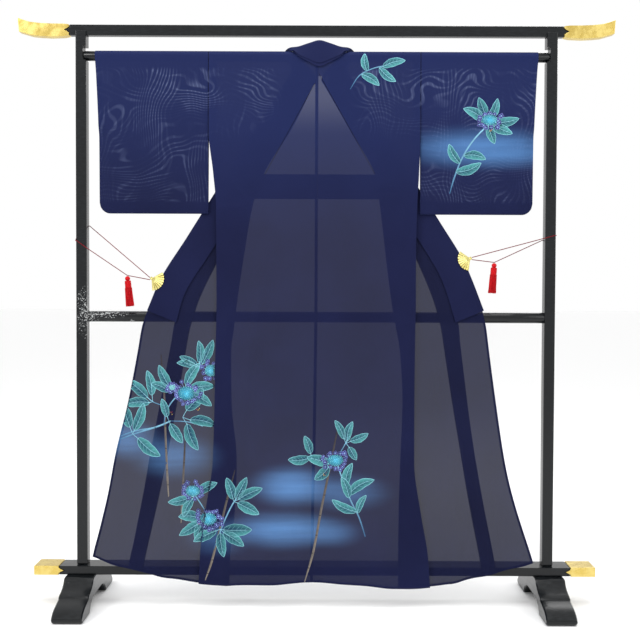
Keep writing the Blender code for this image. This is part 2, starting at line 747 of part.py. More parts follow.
def beam_tip(name, side):
    """A gilt tip that turns up towards its end."""
    border = arrow_outline(BEAM_BLACK_HALF + GAP * 3, BEAM_TALL, BORDER_REACH, side)
    low = [(0.752, -0.0195), (0.790, -0.0210), (0.822, -0.0195), (0.847, -0.0170), (BEAM_HALF - 0.003, -0.0060)]
    high = [
        (BEAM_HALF, 0.0345), (BEAM_HALF - 0.012, 0.0300), (0.852, 0.0230), (0.822, 0.0195), (0.786, 0.0180),
        (0.752, 0.0178),
    ]
    outline = border[::-1] + [(side * across, up) for across, up in low + high]
    made = plate(name, outline, BEAM_DEEP + 0.004, (0.0, 0.0, BEAM_Z), FACING_FRONT, "gilt")
    bevel(made, 0.0018)
    smooth(made)


def post(name, side):
    """A post: forked at the top for the beam, notched for the rod, bored for the middle rail, tenoned below."""
    foot = LOW_RAIL_Z + LOW_RAIL_TALL / 2 + GAP
    middle = (foot + POST_TOP) / 2
    x = side * POST_X
    inward = -side
    made = box(name, (POST_WIDE, POST_DEEP, POST_TOP - foot), (x, 0.0, middle), "lacquer")
    bevel(made, POST_ROUND)
    slot_floor = BEAM_Z - BEAM_TALL / 2 - GAP
    slot = box(
        name + "_fork", (0.1, BEAM_DEEP + GAP * 2, 0.06), (x, 0.0, slot_floor + 0.03), "lacquer"
    )
    combine(made, slot, "DIFFERENCE")
    notch_floor = ROD_Z - ROD_R - GAP
    notch = box(
        name + "_notch",
        (0.020, 0.1, 0.042),
        (x + inward * POST_WIDE / 2, 0.0, notch_floor + 0.021),
        "lacquer",
    )
    combine(made, notch, "DIFFERENCE")
    bore = rod(
        name + "_bore", RAIL_R + GAP, 0.05,
        (x + inward * (POST_WIDE / 2 - RAIL_TENON + 0.025), 0.0, RAIL_Z), "lacquer",
    )
    combine(made, bore, "DIFFERENCE")
    tenon_low = LOW_RAIL_Z - LOW_RAIL_TALL / 2 - TENON_IN_FOOT
    tenon = box(
        name + "_tenon",
        (TENON_WIDE, TENON_DEEP, foot + 0.02 - tenon_low),
        (x, 0.0, (foot + 0.02 + tenon_low) / 2),
        "lacquer",
    )
    combine(made, tenon, "UNION")
    smooth(made)


def mortise(name, side, z, tall):
    """A cutter for the post's tenon."""
    size = (TENON_WIDE + GAP * 2, TENON_DEEP + GAP * 2, tall)
    return box(name, size, (side * POST_X, 0.0, z), "lacquer")


def bottom_rail():
    """The wide black rail under the posts, with a mortise at each."""
    right = arrow_outline(LOW_RAIL_BLACK_HALF, LOW_RAIL_TALL, -BORDER_REACH, 1)
    left = arrow_outline(LOW_RAIL_BLACK_HALF, LOW_RAIL_TALL, -BORDER_REACH, -1)
    made = plate(
        "bottom_rail", right + left[::-1], LOW_RAIL_DEEP, (0.0, 0.0, LOW_RAIL_Z), FACING_FRONT, "lacquer"
    )
    bevel(made, 0.002)
    for side in (-1, 1):
        combine(made, mortise("rail_mortise", side, LOW_RAIL_Z, 0.1), "DIFFERENCE")
    smooth(made)


def rail_end(name, side):
    """A gilt end, whose border points towards the black."""
    border = arrow_outline(LOW_RAIL_BLACK_HALF + GAP * 3, LOW_RAIL_TALL + 0.002, -BORDER_REACH, side)
    tall = LOW_RAIL_TALL / 2 + 0.001
    outline = border[::-1] + [(side * LOW_RAIL_HALF, -tall), (side * LOW_RAIL_HALF, tall)]
    made = plate(name, outline, LOW_RAIL_DEEP + 0.002, (0.0, 0.0, LOW_RAIL_Z), FACING_FRONT, "gilt")
    bevel(made, 0.002)
    smooth(made)


def foot(name, side):
    """A foot: two toes on the floor, an arch between them, and steps up to the flat that carries the rail."""
    top = LOW_RAIL_Z - LOW_RAIL_TALL / 2 - GAP
    half = [
        (0.050, top), (0.060, top - 0.004), (0.066, top - 0.014), (0.080, top - 0.024), (0.100, top - 0.032),
        (0.118, top - 0.038), (0.121, top - 0.044), (0.146, top - 0.050), (0.170, top - 0.057),
        (0.186, top - 0.065), (0.196, top - 0.075), (FOOT_HALF_DEEP, 0.012), (0.196, 0.004), (0.188, 0.0),
        (0.104, 0.0), (0.098, 0.010), (0.088, 0.022), (0.070, 0.032), (0.045, 0.036),
    ]
    outline = half + [(-across, up) for across, up in reversed(half)]
    made = plate(name, outline, FOOT_WIDE, (side * POST_X, 0.0, 0.0), FACING_SIDE, "lacquer")
    bevel(made, 0.0035, segments=1)
    socket_tall = TENON_IN_FOOT + GAP
    combine(made, mortise(name + "_socket", side, top - socket_tall + 0.05, 0.1), "DIFFERENCE")
    smooth(made)


# ---------------------------------------------------------------- clips, cords and tassels


def fan_outline(radius, spread, ribs):
    """A folding fan about its pivot, with a scalloped leaf and a round head at the pivot."""
    outline = []
    for k in range(2 * ribs + 1):
        angle = spread * (k / (2 * ribs) * 2 - 1)
        reach = radius * (1.0 if k % 2 else 0.96)
        outline.append((reach * math.cos(angle), reach * math.sin(angle)))
    head, turns = radius * 0.12, 5
    for k in range(turns + 1):
        angle = spread + math.pi / 2 + (2 * math.pi - 2 * spread - math.pi) * k / turns
        outline.append((head * math.cos(angle), head * math.sin(angle)))
    return outline


def clip(name, side):
    """A gold clip like a folding fan: the fan before the collar's edge, a jaw behind it, a barrel at the pivot."""
    x, z = CLIP_PIVOT[side]
    collar_y = depth("inner", z) + COLLAR_BEHIND
    lean = math.atan((depth("inner", z + 0.02) - depth("inner", z - 0.02)) / 0.04)
    clear = COLLAR_WALL / 2 + GAP * 4 + CLIP_PLATE / 2
    upright = Matrix.Rotation(-lean, 3, "X") @ Matrix.Rotation(-CLIP_TURN[side], 3, "Y")
    facing = (upright @ Matrix.Rotation(math.pi / 2, 3, "X")).to_euler()
    near = upright @ Vector((0.0, -clear, 0.0))
    pivot = Vector((x, collar_y, z))
    made = plate(name, fan_outline(CLIP_R, CLIP_SPREAD, 9), CLIP_PLATE, pivot + near, facing, "gilt")
    jaw = plate(
        name + "_jaw", fan_outline(CLIP_R * 0.72, CLIP_SPREAD * 0.6, 3), CLIP_PLATE, pivot - near, facing, "gilt"
    )
    combine(made, jaw, "UNION")
    barrel = box(
        name + "_barrel", (0.006, clear * 2 + CLIP_PLATE * 0.6, 0.009), pivot - upright @ Vector((0.002, 0, 0)),
        "gilt",
    )
    barrel.rotation_euler = upright.to_euler()
    combine(made, barrel, "UNION")
    smooth(made)


def cord_path(side):
    """The cord's points: the first end, an arc at each corner of the post, the tassel's bend, the last end."""
    reach = POST_ROUND + GAP + CORD_D / 2
    path = [Vector(CORD_ENDS[side][0])]
    for corner in CORD_CORNERS[side]:
        for share in (0.0,) if corner.start == corner.end else (0.0, 0.5, 1.0):
            angle = math.radians(corner.start + (corner.end - corner.start) * share)
            out = POST_X + corner.out * (POST_WIDE / 2 - POST_ROUND + reach * math.cos(angle))
            y = corner.y * (POST_DEEP / 2 - POST_ROUND + reach * math.sin(angle))
            path.append(Vector((side * out, y, corner.z)))
    path.append(Vector(TASSEL_AT[side]))
    path.append(Vector(CORD_ENDS[side][1]))
    return path


def cord(name, side):
    """A thin cord, with each run taut."""
    curve = bpy.data.curves.new(name, "CURVE")
    curve.dimensions = "3D"
    curve.bevel_depth = CORD_D / 2
    curve.bevel_resolution = 2
    curve.use_fill_caps = True
    points = cord_path(side)
    spline = curve.splines.new("POLY")
    spline.points.add(len(points) - 1)
    for spline_end, point in zip(spline.points, points):
        spline_end.co = (*point, 1.0)
    made = bpy.data.objects.new(name, curve)
    made.data.materials.append(material("red_silk"))
    PARTS.objects.link(made)


def tassel(name, side):
    """A tassel: a bead under the cord, a bound head, and strands whose roots are fused into it."""
    lean = TASSEL_LEAN[side]
    at = Vector(TASSEL_AT[side])
    down = Vector((math.sin(lean), 0.0, -math.cos(lean)))
    turn = (0.0, -lean, 0.0)
    bead_at = at + down * TASSEL_BELOW[side]
    head_at = bead_at + down * (TASSEL_BEAD_R * 0.8 + TASSEL_HEAD_TALL / 2)
    made = rod(name, TASSEL_HEAD_R, TASSEL_HEAD_TALL, head_at, "red_silk", axis="Z", segments=16)
    made.rotation_euler = turn
    bevel(made, 0.002, segments=1)
    mesh = bpy.data.meshes.new(name + "_bead")
    shape = bmesh.new()
    bmesh.ops.create_uvsphere(shape, u_segments=12, v_segments=8, radius=TASSEL_BEAD_R)
    shape.to_mesh(mesh)
    shape.free()
    bead = mesh_object(name + "_bead", mesh, "red_silk")
    bead.location = bead_at
    combine(made, bead, "UNION")
    shape = bmesh.new()
    root = -TASSEL_HEAD_TALL / 2 + 0.005
    for ring, (radius, count) in enumerate(TASSEL_RINGS):
        for k in range(count):
            angle = 2 * math.pi * (k + ring * 0.37) / count
            strand = bmesh.ops.create_cone(
                shape, cap_ends=True, segments=4, radius1=TASSEL_STRAND_R, radius2=TASSEL_STRAND_R,
                depth=TASSEL_STRAND_LONG,
            )["verts"]
            for vertex in strand:
                share = 0.5 - vertex.co.z / TASSEL_STRAND_LONG
                spread = radius * (1.0 + (TASSEL_FLARE - 1.0) * share)
                vertex.co.x += spread * math.cos(angle)
                vertex.co.y += spread * math.sin(angle)
                vertex.co.z += root - TASSEL_STRAND_LONG / 2
    mesh = bpy.data.meshes.new(name + "_strands")
    shape.to_mesh(mesh)
    shape.free()
    strands = mesh_object(name + "_strands", mesh, "red_silk")
    strands.location = head_at
    strands.rotation_euler = turn
    combine(made, strands, "UNION")


# ---------------------------------------------------------------- everything

NAMED_SIDES = (("left", -1), ("right", 1))

top_beam()
rod("rod", ROD_R, ROD_HALF * 2, (0.0, 0.0, ROD_Z), "lacquer")
rod("middle_rail", RAIL_R, (POST_X - POST_WIDE / 2 + RAIL_TENON - GAP) * 2, (0.0, 0.0, RAIL_Z), "lacquer")
bottom_rail()
collar("collar")
overcollar("overcollar")
for word, hand in NAMED_SIDES:
    beam_tip("beam_tip_" + word, hand)
    post("post_" + word, hand)
    rail_end("rail_end_" + word, hand)
    foot("foot_" + word, hand)
    body_panel("body_" + word, hand)
    tuck("tuck_" + word, hand)
    okumi("okumi_" + word, hand)
    sleeve("sleeve_" + word, hand)
    clip("clip_" + word, hand)
    cord("cord_" + word, hand)
    tassel("tassel_" + word, hand)
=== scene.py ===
import math
import random
from collections import namedtuple

import bmesh
import bpy
import numpy as np
from mathutils import Matrix, Vector
from mathutils.bvhtree import BVHTree


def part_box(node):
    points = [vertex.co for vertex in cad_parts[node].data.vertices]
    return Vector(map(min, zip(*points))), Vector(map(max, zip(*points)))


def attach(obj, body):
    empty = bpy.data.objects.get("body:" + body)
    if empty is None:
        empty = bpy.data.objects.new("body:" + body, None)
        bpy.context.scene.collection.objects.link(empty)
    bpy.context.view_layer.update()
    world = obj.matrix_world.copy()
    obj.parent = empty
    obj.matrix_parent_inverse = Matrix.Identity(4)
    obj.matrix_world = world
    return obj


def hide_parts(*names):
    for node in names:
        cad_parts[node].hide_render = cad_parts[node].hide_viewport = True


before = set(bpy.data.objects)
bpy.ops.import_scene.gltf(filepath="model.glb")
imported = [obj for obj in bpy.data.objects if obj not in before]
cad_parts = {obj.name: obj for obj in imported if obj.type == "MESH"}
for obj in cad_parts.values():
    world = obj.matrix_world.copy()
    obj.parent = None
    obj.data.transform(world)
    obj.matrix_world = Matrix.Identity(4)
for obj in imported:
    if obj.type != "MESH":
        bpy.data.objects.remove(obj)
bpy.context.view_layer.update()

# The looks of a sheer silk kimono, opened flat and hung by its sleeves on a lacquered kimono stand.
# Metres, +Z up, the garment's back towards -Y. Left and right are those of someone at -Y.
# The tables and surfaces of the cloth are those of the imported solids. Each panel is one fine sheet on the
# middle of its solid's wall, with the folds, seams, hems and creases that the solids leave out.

# ---------------------------------------------------------------- driving sizes, as in the solids

GAP = 0.0003
WALL = 0.0012
COLLAR_WALL = 0.0020

CENTRE_X = -0.008
NECK_X = 0.0085
NECK_HALF = 0.090
NECK_DIP = 0.044
ARMHOLE = {-1: 0.313, 1: 0.318}

POST_X = 0.700
POST_WIDE = 0.032
POST_DEEP = 0.036
POST_ROUND = 0.003
ROD_Z = 1.643
ROD_R = 0.0145
RAIL_R = 0.016

CLOTH_ON_ROD = ROD_R + 0.0006 + WALL / 2
TOP_H = ROD_Z + CLOTH_ON_ROD * math.pi / 2
HEM_H = 0.0578

# ---------------------------------------------------------------- the garment's tables, as in the solids


def table(kind, *rows):
    """A table's rows, with named fields."""
    return tuple(kind(*row) for row in rows)


Body = namedtuple("Body", "h side fold seam edge")
BODY_ROWS = {
    -1: table(
        Body, (TOP_H, 0.313, 0.081, 0.081, 0.1), (1.578, 0.313, 0.006, 0.006, 0.05),
        (1.56, 0.313, 0.0145, 0.0145, 0.056), (1.428, 0.313, 0.075, 0.075, 0.104),
        (1.2915, 0.298, 0.152, 0.152, 0.188), (1.2, 0.29, 0.182, 0.198, 0.245),
        (1.029, 0.288, 0.21, 0.288, 0.352), (0.905, 0.287, 0.227, 0.345, 0.482),
        (0.866, 0.2875, 0.232, 0.357, 0.5015), (0.83, 0.288, 0.236, 0.368, 0.512),
        (0.765, 0.29, 0.244, 0.38, 0.523), (0.615, 0.292, 0.242, 0.404, 0.551),
        (0.435, 0.297, 0.226, 0.436, 0.592), (0.285, 0.318, 0.231, 0.465, 0.616),
        (0.153, 0.333, 0.244, 0.49, 0.637), (HEM_H, 0.338, 0.247, 0.508, 0.656),
    ),
    1: table(
        Body, (TOP_H, 0.318, 0.099, 0.099, 0.118), (1.578, 0.318, 0.01, 0.01, 0.07),
        (1.56, 0.318, 0.0205, 0.0205, 0.078), (1.428, 0.318, 0.104, 0.104, 0.135),
        (1.2915, 0.314, 0.184, 0.184, 0.222), (1.2, 0.309, 0.199, 0.229, 0.276),
        (1.029, 0.306, 0.219, 0.314, 0.379), (0.905, 0.306, 0.235, 0.364, 0.5),
        (0.866, 0.3055, 0.242, 0.375, 0.511), (0.84, 0.305, 0.247, 0.382, 0.517),
        (0.765, 0.304, 0.26, 0.394, 0.527), (0.615, 0.303, 0.268, 0.417, 0.547),
        (0.435, 0.303, 0.262, 0.447, 0.575), (0.285, 0.323, 0.258, 0.472, 0.606),
        (0.153, 0.345, 0.257, 0.494, 0.636), (HEM_H, 0.352, 0.257, 0.51, 0.661),
    ),
}

Depth = namedtuple("Depth", "h back inner turn")
DEPTH_ROWS = table(
    Depth, (ROD_Z, -CLOTH_ON_ROD, CLOTH_ON_ROD, 0.003), (1.578, -0.0168, 0.0135, 0.0034),
    (1.5, -0.0178, 0.01, 0.006), (1.428, -0.0187, 0.0065, 0.0075), (1.2915, -0.0207, -0.001, 0.0075),
    (1.2, -0.0223, -0.0065, 0.0075), (1.029, -0.0262, -0.0175, 0.0075), (0.905, -0.0298, -0.0268, 0.0075),
    (0.825, -0.0315, -0.0268, 0.0075), (0.615, -0.036, -0.0318, 0.0075), (0.119, -0.0485, -0.0445, 0.0075),
    (0.045, -0.049, -0.045, 0.0075),
)

Hem = namedtuple("Hem", "x z")
HEM_ROWS = table(
    Hem, (-0.69, 0.158), (-0.668, 0.15), (-0.584, 0.121), (-0.459, 0.091), (-0.286, 0.067), (-0.116, 0.07),
    (-0.008, 0.077), (0.144, 0.067), (0.282, HEM_H), (0.367, 0.065), (0.455, 0.084), (0.604, 0.121),
    (0.668, 0.138), (0.69, 0.144),
)

Fold = namedtuple("Fold", "x_top top x_low low half high")
Sway = namedtuple("Sway", "h x")
SWAY_ROWS = table(
    Sway, (TOP_H, 0.0125), (0.95, 0.0125), (0.62, 0.01), (0.38, 0.006), (HEM_H, 0.002),
)
SWAY_REACH = 0.10

BACK_FOLDS = table(
    Fold, (-0.13, 1.2, -0.262, 0.25, 0.022, 0.006), (-0.1, 0.5, -0.13, 0.05, 0.045, 0.007),
    (0.06, 0.56, 0.075, 0.05, 0.04, 0.005), (0.17, 0.75, 0.215, 0.05, 0.035, 0.007),
)
FRONT_FOLDS = table(
    Fold, (-0.43, 0.7, -0.452, 0.08, 0.03, 0.011), (-0.56, 0.6, -0.6, 0.1, 0.034, 0.009),
    (0.395, 0.64, 0.42, 0.06, 0.026, 0.01), (0.47, 0.56, 0.52, 0.08, 0.03, 0.012),
    (0.58, 0.5, 0.62, 0.11, 0.028, 0.007),
)

Neck = namedtuple("Neck", "out y z out_seam y_seam z_seam")
NECK_ROWS = table(
    Neck, (0.0, -0.014, 1.689, 0.0, -0.0196, 1.619), (0.032, -0.013, 1.6805, 0.034, -0.0196, 1.631),
    (0.062, -0.011, 1.671, 0.062, -0.019, 1.644), (0.086, -0.006, 1.6715, 0.078, -0.016, 1.657),
    (0.099, 0.008, 1.672, 0.086, 0.0, 1.666), (0.107, 0.025, 1.662, 0.08, 0.019, 1.6585),
    (0.098, 0.03, 1.641, 0.062, 0.0255, 1.638), (0.085, 0.028, 1.615, 0.038, 0.0245, 1.61),
)
Band = namedtuple("Band", "out z out_seam z_seam")
COLLAR_ROWS = {
    -1: table(
        Band, (0.084, 1.585, 0.03, 1.55), (0.153, 1.467, 0.092, 1.427), (0.233, 1.338, 0.17, 1.298),
        (0.306, 1.221, 0.242, 1.181), (0.382, 1.098, 0.318, 1.058), (0.45, 0.99, 0.386, 0.95),
        (0.495, 0.885, 0.418, 0.853),
    ),
    1: table(
        Band, (0.11, 1.585, 0.046, 1.55), (0.183, 1.467, 0.119, 1.428), (0.264, 1.338, 0.2, 1.299),
        (0.33, 1.23, 0.266, 1.191), (0.383, 1.146, 0.32, 1.107), (0.4535, 1.029, 0.389, 0.99),
        (0.51, 0.888, 0.435, 0.856),
    ),
}
COLLAR_BEHIND = 0.0042
COLLAR_STEPS = (
    *np.arange(0, 2.5, 0.5), *np.arange(2.5, 4, 0.25), *np.arange(4, 10, 0.5),
    10, 11, *np.arange(12, 14.5, 0.5),
)
COLLAR_MIDDLE = len(COLLAR_STEPS) - 1
OVERCOLLAR_ROWS = 23

Sleeve = namedtuple("Sleeve", "h near far reach")
SLEEVE_ROWS = table(
    Sleeve, (ROD_Z, -CLOTH_ON_ROD, CLOTH_ON_ROD, 0.659), (1.578, -0.0157, 0.0135, 0.6545),
    (1.4, -0.0142, 0.0025, 0.648), (1.19, -0.013, -0.006, 0.646), (1.15, -0.0128, -0.0066, 0.645),
)
SLEEVE_BOTTOM = 1.1745
SLEEVE_CORNER_R = 0.030
CUFF_OPEN_H = 1.43

TUCK_LOW, TUCK_HIGH = 1.218, 1.2915
TUCK_SHORT = 0.036

CLIP_PIVOT = {-1: (-0.4885, 0.9795), 1: (0.4600, 1.0430)}
CLIP_TURN = {-1: math.radians(-28), 1: math.radians(204)}
CLIP_R = 0.0365
CLIP_SPREAD = math.radians(58)
CLIP_PLATE = 0.0016

CORD_D = 0.0024
Corner = namedtuple("Corner", "out y z start end")
CORD_ENDS = {
    -1: ((-0.4945, -0.0215, 0.9830), (-0.4945, -0.0218, 0.9765)),
    1: ((0.4660, -0.0165, 1.0465), (0.4660, -0.0168, 1.0400)),
}
CORD_CORNERS = {
    -1: table(
        Corner, (-1, 1, 1.138, 0, 90), (1, 1, 1.12, 90, 0), (1, -1, 1.092, 0, 90), (-1, -1, 1.073, 90, 90),
    ),
    1: table(
        Corner, (-1, -1, 1.106, 90, 90), (1, -1, 1.113, 90, 0), (1, 1, 1.117, 0, 90), (-1, 1, 1.1, 90, 0),
    ),
}
TASSEL_AT = {-1: (-0.5620, -0.0212, 0.9890), 1: (0.5330, -0.0155, 1.0320)}
TASSEL_LEAN = {-1: math.radians(5), 1: math.radians(-4)}
TASSEL_BELOW = {-1: 0.0095, 1: 0.0095}
TASSEL_BEAD_R = 0.0075
TASSEL_HEAD_R = 0.0095
TASSEL_HEAD_TALL = 0.022
TASSEL_STRAND_LONG = 0.061
TASSEL_FLARE = 1.25
STRANDS = 190

SIDES = (("left", -1), ("right", 1))

# ---------------------------------------------------------------- camera, light and floor

FOCAL = 941.4  # pixels
IMAGE = 640  # pixels across the photograph
SENSOR = 36.0
CAMERA_AT = (0.013, -2.83, 0.950)
CAMERA_PITCH = math.radians(-1.58)
CAMERA_ROLL = math.radians(0.22)
CAMERA_UP = -4.8 / IMAGE  # shift, in image widths
FLOOR_HALF = 40.0
FLOOR_DOWN = 0.0003  # so that the floor and the feet's soles don't share a plane

Lamp = namedtuple("Lamp", "name at towards size power")
LAMPS = table(
    Lamp,
    ("key_light", (-2.6, -2.2, 2.9), (0.0, 0.0, 0.9), 1.2, 42.0),
    ("fill_light", (2.8, -2.6, 2.2), (0.0, 0.0, 0.9), 1.6, 18.0),
    ("back_light", (1.5, 2.8, 2.9), (0.0, 0.0, 0.9), 1.4, 18.0),
    ("top_light", (0.0, -0.7, 3.6), (0.0, 0.0, 0.0), 2.4, 62.0),
)


def placed(name, data):
    """A new object in the scene."""
    made = bpy.data.objects.new(name, data)
    bpy.context.scene.collection.objects.link(made)
    return made


def camera():
    """The photograph's camera: level with the middle rail and a little pitched down."""
    lens = bpy.data.cameras.new("camera")
    lens.sensor_width = SENSOR
    lens.lens = SENSOR * FOCAL / IMAGE
    lens.shift_y = CAMERA_UP
    made = placed("camera", lens)
    made.location = CAMERA_AT
    made.rotation_euler = (math.pi / 2 + CAMERA_PITCH, 0.0, 0.0)
    made.rotation_euler.rotate_axis("Z", CAMERA_ROLL)
    bpy.context.scene.camera = made


def studio():
    """A white surround, soft square lights, and a pale floor."""
    world = bpy.data.worlds.new("studio")
    world.use_nodes = True
    surround = world.node_tree.nodes["Background"]
    surround.inputs["Color"].default_value = (1.0, 1.0, 1.0, 1.0)
    surround.inputs["Strength"].default_value = 1.0
    bpy.context.scene.world = world
    bpy.context.scene.view_settings.view_transform = "Standard"
    for lamp in LAMPS:
        light = bpy.data.lights.new(lamp.name, "AREA")
        light.size = lamp.size
        light.energy = lamp.power
        made = placed(lamp.name, light)
        made.location = lamp.at
        made.rotation_euler = (Vector(lamp.towards) - Vector(lamp.at)).to_track_quat("-Z", "Y").to_euler()

    mesh = bpy.data.meshes.new("floor")
    corners = [(FLOOR_HALF * x, FLOOR_HALF * y, 0) for x, y in ((-1, -1), (1, -1), (1, 1), (-1, 1))]
    mesh.from_pydata(corners, [], [(0, 1, 2, 3)])
    floor = placed("floor", mesh)
    floor.location.z = -FLOOR_DOWN
    mesh.materials.append(pale_floor())


# ---------------------------------------------------------------- materials


class Tree:
    """Short calls for the nodes of a new material. Colours are given as three parts."""

    def __init__(self, name):
        self.material = bpy.data.materials.new(name)
        self.material.use_nodes = True
        self.nodes = self.material.node_tree.nodes
        self.links = self.material.node_tree.links
        self.shader = self.nodes["Principled BSDF"]

    def feed(self, node, socket, value):
        """Links an output to a socket, or sets the socket's own value."""
        end = node.inputs[socket]
        if isinstance(value, bpy.types.NodeSocket):
            self.links.new(value, end)
        else:
            end.default_value = (*value, 1.0) if end.type == "RGBA" else value

    def node(self, kind, inputs, **settings):
        """A node with its settings and the values or links of its inputs."""
        made = self.nodes.new("ShaderNode" + kind)
        for name, value in settings.items():
            setattr(made, name, value)
        for socket, value in inputs.items():
            self.feed(made, socket, value)
        return made

    def surface(self, **inputs):
        """Values or links of the shader's sockets, with _ for a space in their names."""
        for name, value in inputs.items():
            self.feed(self.shader, name.replace("_", " "), value)

    def coordinates(self, kind="Object"):
        return self.node("TexCoord", {}).outputs[kind]

    def axes(self, vector):
        return self.node("SeparateXYZ", {0: vector}).outputs

    def maths(self, operation, *values):
        return self.node("Math", dict(enumerate(values)), operation=operation).outputs[0]

    def plus(self, first, second):
        return self.maths("ADD", first, second)

    def times(self, product, *others):
        for other in others:
            product = self.maths("MULTIPLY", product, other)
        return product

    def mix(self, share, first, second, blend="MIX"):
        inputs = {0: share, 6: first, 7: second}
        return self.node("Mix", inputs, data_type="RGBA", blend_type=blend).outputs[2]

    def span(self, value, low, high, to_low=0.0, to_high=1.0):
        """A smooth step of a value between two levels."""
        inputs = {"Value": value, "From Min": low, "From Max": high, "To Min": to_low, "To Max": to_high}
        return self.node("MapRange", inputs, interpolation_type="SMOOTHSTEP").outputs[0]

    def about(self, vector, at=(0, 0, 0), size=(1, 1, 1), turn=(0, 0, 0)):
        """Coordinates about a place, in units of a size."""
        inputs = {"Vector": vector, "Location": at, "Rotation": turn, "Scale": size}
        return self.node("Mapping", inputs, vector_type="TEXTURE").outputs[0]

    def noise(self, vector, scale, detail=2.0, distortion=0.0):
        inputs = {"Vector": vector, "Scale": scale, "Detail": detail, "Distortion": distortion}
        return self.node("TexNoise", inputs).outputs[0]

    def wave(self, vector, scale, direction, distortion=0.0):
        inputs = {"Vector": vector, "Scale": scale, "Distortion": distortion}
        inputs.update({"Detail": 2.0, "Detail Scale": 1.3})
        return self.node("TexWave", inputs, bands_direction=direction).outputs["Fac"]

    def weave(self, vector, length):
        """Crossed threads of a cloth whose length runs along an axis."""
        return self.times(self.wave(vector, THREADS, "X"), self.wave(vector, THREADS * 0.8, length))

    def near(self, vector, at, size):
        """1 at a place, falling to 0 at a size from it."""
        inputs = {"Vector": self.about(vector, at, size)}
        return self.node("TexGradient", inputs, gradient_type="SPHERICAL").outputs["Fac"]

    def shaded(self, colour, shade):
        grey = self.node("CombineColor", {0: shade, 1: shade, 2: shade}).outputs[0]
        return self.mix(1.0, colour, grey, "MULTIPLY")

    def bump(self, height, strength, distance):
        inputs = {"Height": height, "Strength": strength, "Distance": distance}
        self.surface(Normal=self.node("Bump", inputs).outputs[0])


Mist = namedtuple("Mist", "x z half_x half_z strength")
MIST_BLUE = (0.084, 0.210, 0.460)
SLEEVE_MISTS = table(
    Mist, (0.5, 1.372, 0.34, 0.082, 0.85), (0.585, 1.355, 0.2, 0.055, 0.35),
)
BODY_MISTS = table(
    Mist, (-0.07, 0.364, 0.155, 0.078, 1.0), (0.09, 0.346, 0.17, 0.07, 0.5),
    (-0.095, 0.234, 0.23, 0.072, 0.95), (0.05, 0.226, 0.12, 0.056, 0.4), (-0.42, 0.45, 0.17, 0.085, 0.7),
    (-0.56, 0.5, 0.12, 0.08, 0.8), (-0.29, 0.21, 0.13, 0.07, 0.35),
)
SILK_NAVY = (0.0084, 0.0109, 0.0461)
SILK_DEEP = (0.0067, 0.0086, 0.0368)
# painted light from above: the silk's lighter, bluer colour high up
SILK_PAINTED_TOP_LIGHT = (0.0117, 0.0190, 0.0808)
SILK_SEAM = (0.0046, 0.0060, 0.0220)
# painted light: the colour of the moiré's bright streaks
SILK_PAINTED_STREAK_LIGHT = (0.0900, 0.1120, 0.2200)
THREADS = 620.0  # wave scale of the gauze's threads over metres of cloth
FRINGES = 62.0, 70.0  # a metre, along the weft and along the warp
SLACK = 24.0, 22.0  # how many fringes the slack shifts them by


def moire(tree, space, strength, weakest):
    """The figure of two gauzes, one behind the other, as painted light: bright where their threads fall in
    step, where the light behind would pass through both.

    The threads along each way make their own fringes, which wander with the cloth's slack. They are strongest
    under the rod and weakest below.
    """
    x, _, z = tree.axes(space)

    def fringes(across, per_metre, slack, size, at):
        drift = tree.noise(tree.about(space, at, size), 1.0, 1.5)
        turns = tree.plus(tree.times(across, per_metre), tree.times(drift, slack))
        return tree.span(tree.maths("SINE", tree.times(turns, math.tau)), 0.15, 1.0)

    weft = fringes(z, FRINGES[0], SLACK[0], (0.26, 1.0, 0.17), (0.3, 0.0, 0.9))
    warp = fringes(x, FRINGES[1], SLACK[1], (0.15, 1.0, 0.30), (0.7, 0.0, 0.2))
    side = tree.span(tree.noise(tree.about(space, (0.2, 0.0, 0.6), (0.16, 1.0, 0.22)), 1.0, 1.0), 0.42, 0.60)
    figure = tree.plus(tree.times(tree.mix(side, weft, warp), 0.62), tree.times(tree.times(weft, warp), 0.55))
    patches = tree.noise(tree.about(space, (0.5, 0.0, 0.1), (0.10, 1.0, 0.10)), 1.0, 1.0)
    patches = tree.span(patches, 0.38, 0.62, 0.06)
    under_rod = tree.times(tree.span(z, 1.38, 1.56, weakest), tree.span(z, 1.596, 1.610, 1.0, 0.0))
    above_band = tree.times(tree.span(z, 1.206, 1.216), tree.span(tree.maths("ABSOLUTE", x), 0.09, 0.17))
    return tree.times(tree.times(figure, patches), tree.times(tree.times(under_rod, above_band), strength))


def mist(tree, space, drift):
    """A drift of airbrushed dye: soft, and long from side to side."""
    near = tree.near(space, (drift.x, 0.0, drift.z), (drift.half_x, 9.0, drift.half_z))
    streaks = tree.span(tree.noise(tree.about(space, size=(0.30, 1.0, 0.022)), 1.0, 2.0), 0.25, 0.75, 0.72)
    soft = tree.times(tree.span(near, 0.0, 1.0), tree.span(near, -0.5, 0.7, 0.3))
    return tree.times(soft, streaks, drift.strength)


Line = namedtuple("Line", "x_low z_low x_high z_high")
# painted shadow: thin dark lines along the V's legs, where folded edges lie behind the back
V_LEG_SHADOW_LINES = (Line(-0.152, 1.292, -0.0050, 1.560), Line(0.1745, 1.294, 0.0080, 1.588))
ARMHOLE_LINES = {
    side: Line(CENTRE_X + side * out, 1.390, CENTRE_X + side * out, 1.655) for side, out in ARMHOLE.items()
}
LINE_HALF = 0.0022
LINE_DARK = 0.75


